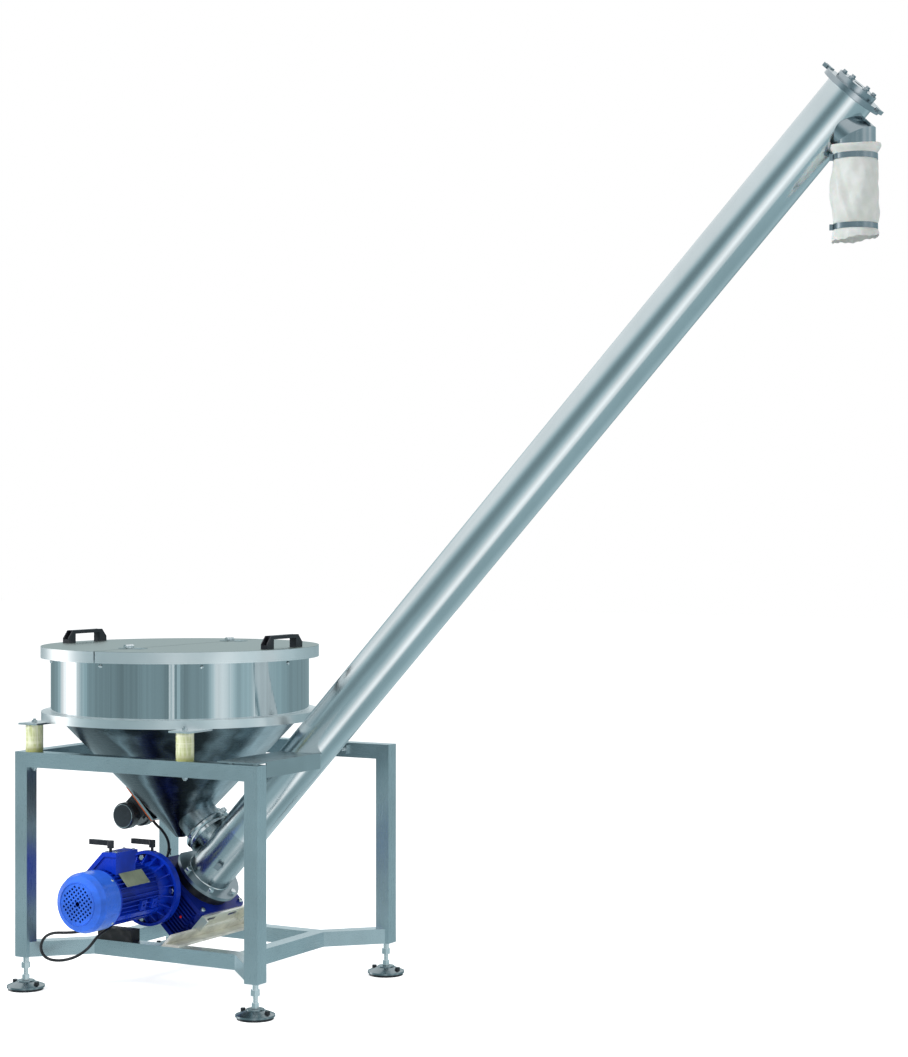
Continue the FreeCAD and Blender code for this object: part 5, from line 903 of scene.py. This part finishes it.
WORLD_BANDS = bands([
    (-180, 0.40), (-150, 0.28), (-132, 0.45), (-121, 1.0), (-111, 2.2), (-101, 2.2), (-94, 0.75),
    (-82, 0.44), (-68, 0.33), (-40, 0.30), (-24, 0.38), (-3, 0.30), (-1, 1.1), (1, 0.30),
    (4, 0.30), (5, 0.9), (7, 0.32), (27, 0.36), (39, 0.95),
    (49, 0.85), (58, 0.58), (70, 0.58), (80, 1.15), (92, 0.60), (107, 0.48), (124, 0.38), (152, 0.36),
])
FLOOR_BANDS = bands([
    (-180, 0.7), (-140, 0.6), (-60, 0.62), (-36, 0.50), (-23, 0.70), (-11, 1.1), (1, 1.6), (13, 1.0),
    (27, 0.54), (105, 0.50), (132, 0.62), (160, 0.72),
])


def in_view(tree):
    """One on rays from the camera, also those that went through something clear."""
    rays = add(tree, "ShaderNodeLightPath").outputs
    return calc(tree, "MAXIMUM", rays["Is Camera Ray"], rays["Is Transmission Ray"])


def make_world():
    """White where it is seen, plain grey as light, and the banded studio in reflections.

    The heights are parts of a direction that point up, from -1 for straight down.
    """
    plain, under_foot, dark_tint = (0.46, 0.47, 0.48), (0.30, 0.30, 0.30), (0.72, 1.0, 1.08)
    floor_full, floor_gone = -0.42, -0.10
    under_foot_full, under_foot_gone = -0.985, -0.90
    ceiling_start, ceiling_full = 0.02, 0.40
    dark_level, bright_level = 0.45, 1.15
    world = bpy.data.worlds.new("studio")
    bpy.context.scene.world = world
    world.use_nodes = True
    tree = world.node_tree
    tree.nodes.clear()
    direction = add(tree, "ShaderNodeTexCoord").outputs["Generated"]
    east, north, up = add(tree, "ShaderNodeSeparateXYZ", {0: direction}).outputs
    turn = share_between(tree, calc(tree, "ARCTAN2", east, north), -math.pi, math.pi)
    downward = spread(tree, up, floor_full, floor_gone, 1.0, 0.0)
    straight_down = spread(tree, up, under_foot_full, under_foot_gone, 1.0, 0.0)
    level = blend_colours(tree, downward, ramp(tree, turn, WORLD_BANDS), ramp(tree, turn, FLOOR_BANDS))
    level = blend_colours(tree, straight_down, level, under_foot)
    level = blend_colours(tree, spread(tree, up, ceiling_start, ceiling_full), level, WHITE)
    tint = blend_colours(tree, spread(tree, level, dark_level, bright_level), dark_tint, WHITE)
    studio = blend_colours(tree, 1.0, level, tint, "MULTIPLY")
    reflected = add(tree, "ShaderNodeLightPath").outputs["Is Glossy Ray"]
    colour = blend_colours(tree, reflected, plain, studio)
    colour = blend_colours(tree, in_view(tree), colour, WHITE)
    background = add(tree, "ShaderNodeBackground", {"Color": colour, "Strength": 1.0})
    output = add(tree, "ShaderNodeOutputWorld")
    link(tree, background.outputs[0], output.inputs["Surface"])


def lamp(name, place, aim, size, power):
    data = bpy.data.lights.new(name, "AREA")
    data.shape = "RECTANGLE"
    data.size, data.size_y = size
    data.energy = power
    light = bpy.data.objects.new(name, data)
    bpy.context.scene.collection.objects.link(light)
    light.location = place
    light.rotation_euler = (Vector(aim) - Vector(place)).to_track_quat("-Z", "Y").to_euler()
    light.visible_glossy = False


def make_lights():
    lamp("key", (-3.5, -5.5, 5.5), (0.3, 0, 1.0), (2.2, 2.2), power=430)
    lamp("fill", (6.5, -2.0, 3.0), (0.6, 0, 1.0), (3.0, 3.0), power=60)
    lamp("top", (0.8, 1.0, 6.5), (0.6, 0, 0.8), (4.0, 4.0), power=150)


def make_floor():
    """Pale matt floor that looks nearly as white as the world around it."""
    glow = 0.75
    bpy.ops.mesh.primitive_plane_add(size=60, location=(0, 0, 0))
    floor = bpy.context.object
    floor.name = "floor"
    material, tree, shader = new_material("pale_floor")
    shader.inputs["Roughness"].default_value = 0.9
    shader.inputs["Specular IOR Level"].default_value = 0.0
    specks = noise(tree, local(tree), 1.5, 2.0)
    tone = blend_colours(tree, specks, (0.80, 0.80, 0.80), (0.82, 0.82, 0.82))
    link(tree, tone, shader.inputs["Base Color"])
    link(tree, calc(tree, "MULTIPLY", in_view(tree), glow), shader.inputs["Emission Strength"])
    shader.inputs["Emission Color"].default_value = (1, 1, 1, 1)
    floor.data.materials.append(material)
    floor.visible_glossy = False


make_camera()
make_world()
make_lights()
make_floor()
MATERIALS = make_materials()
dress_nodes()
dress()

bpy.context.scene.view_settings.view_transform = "Standard"
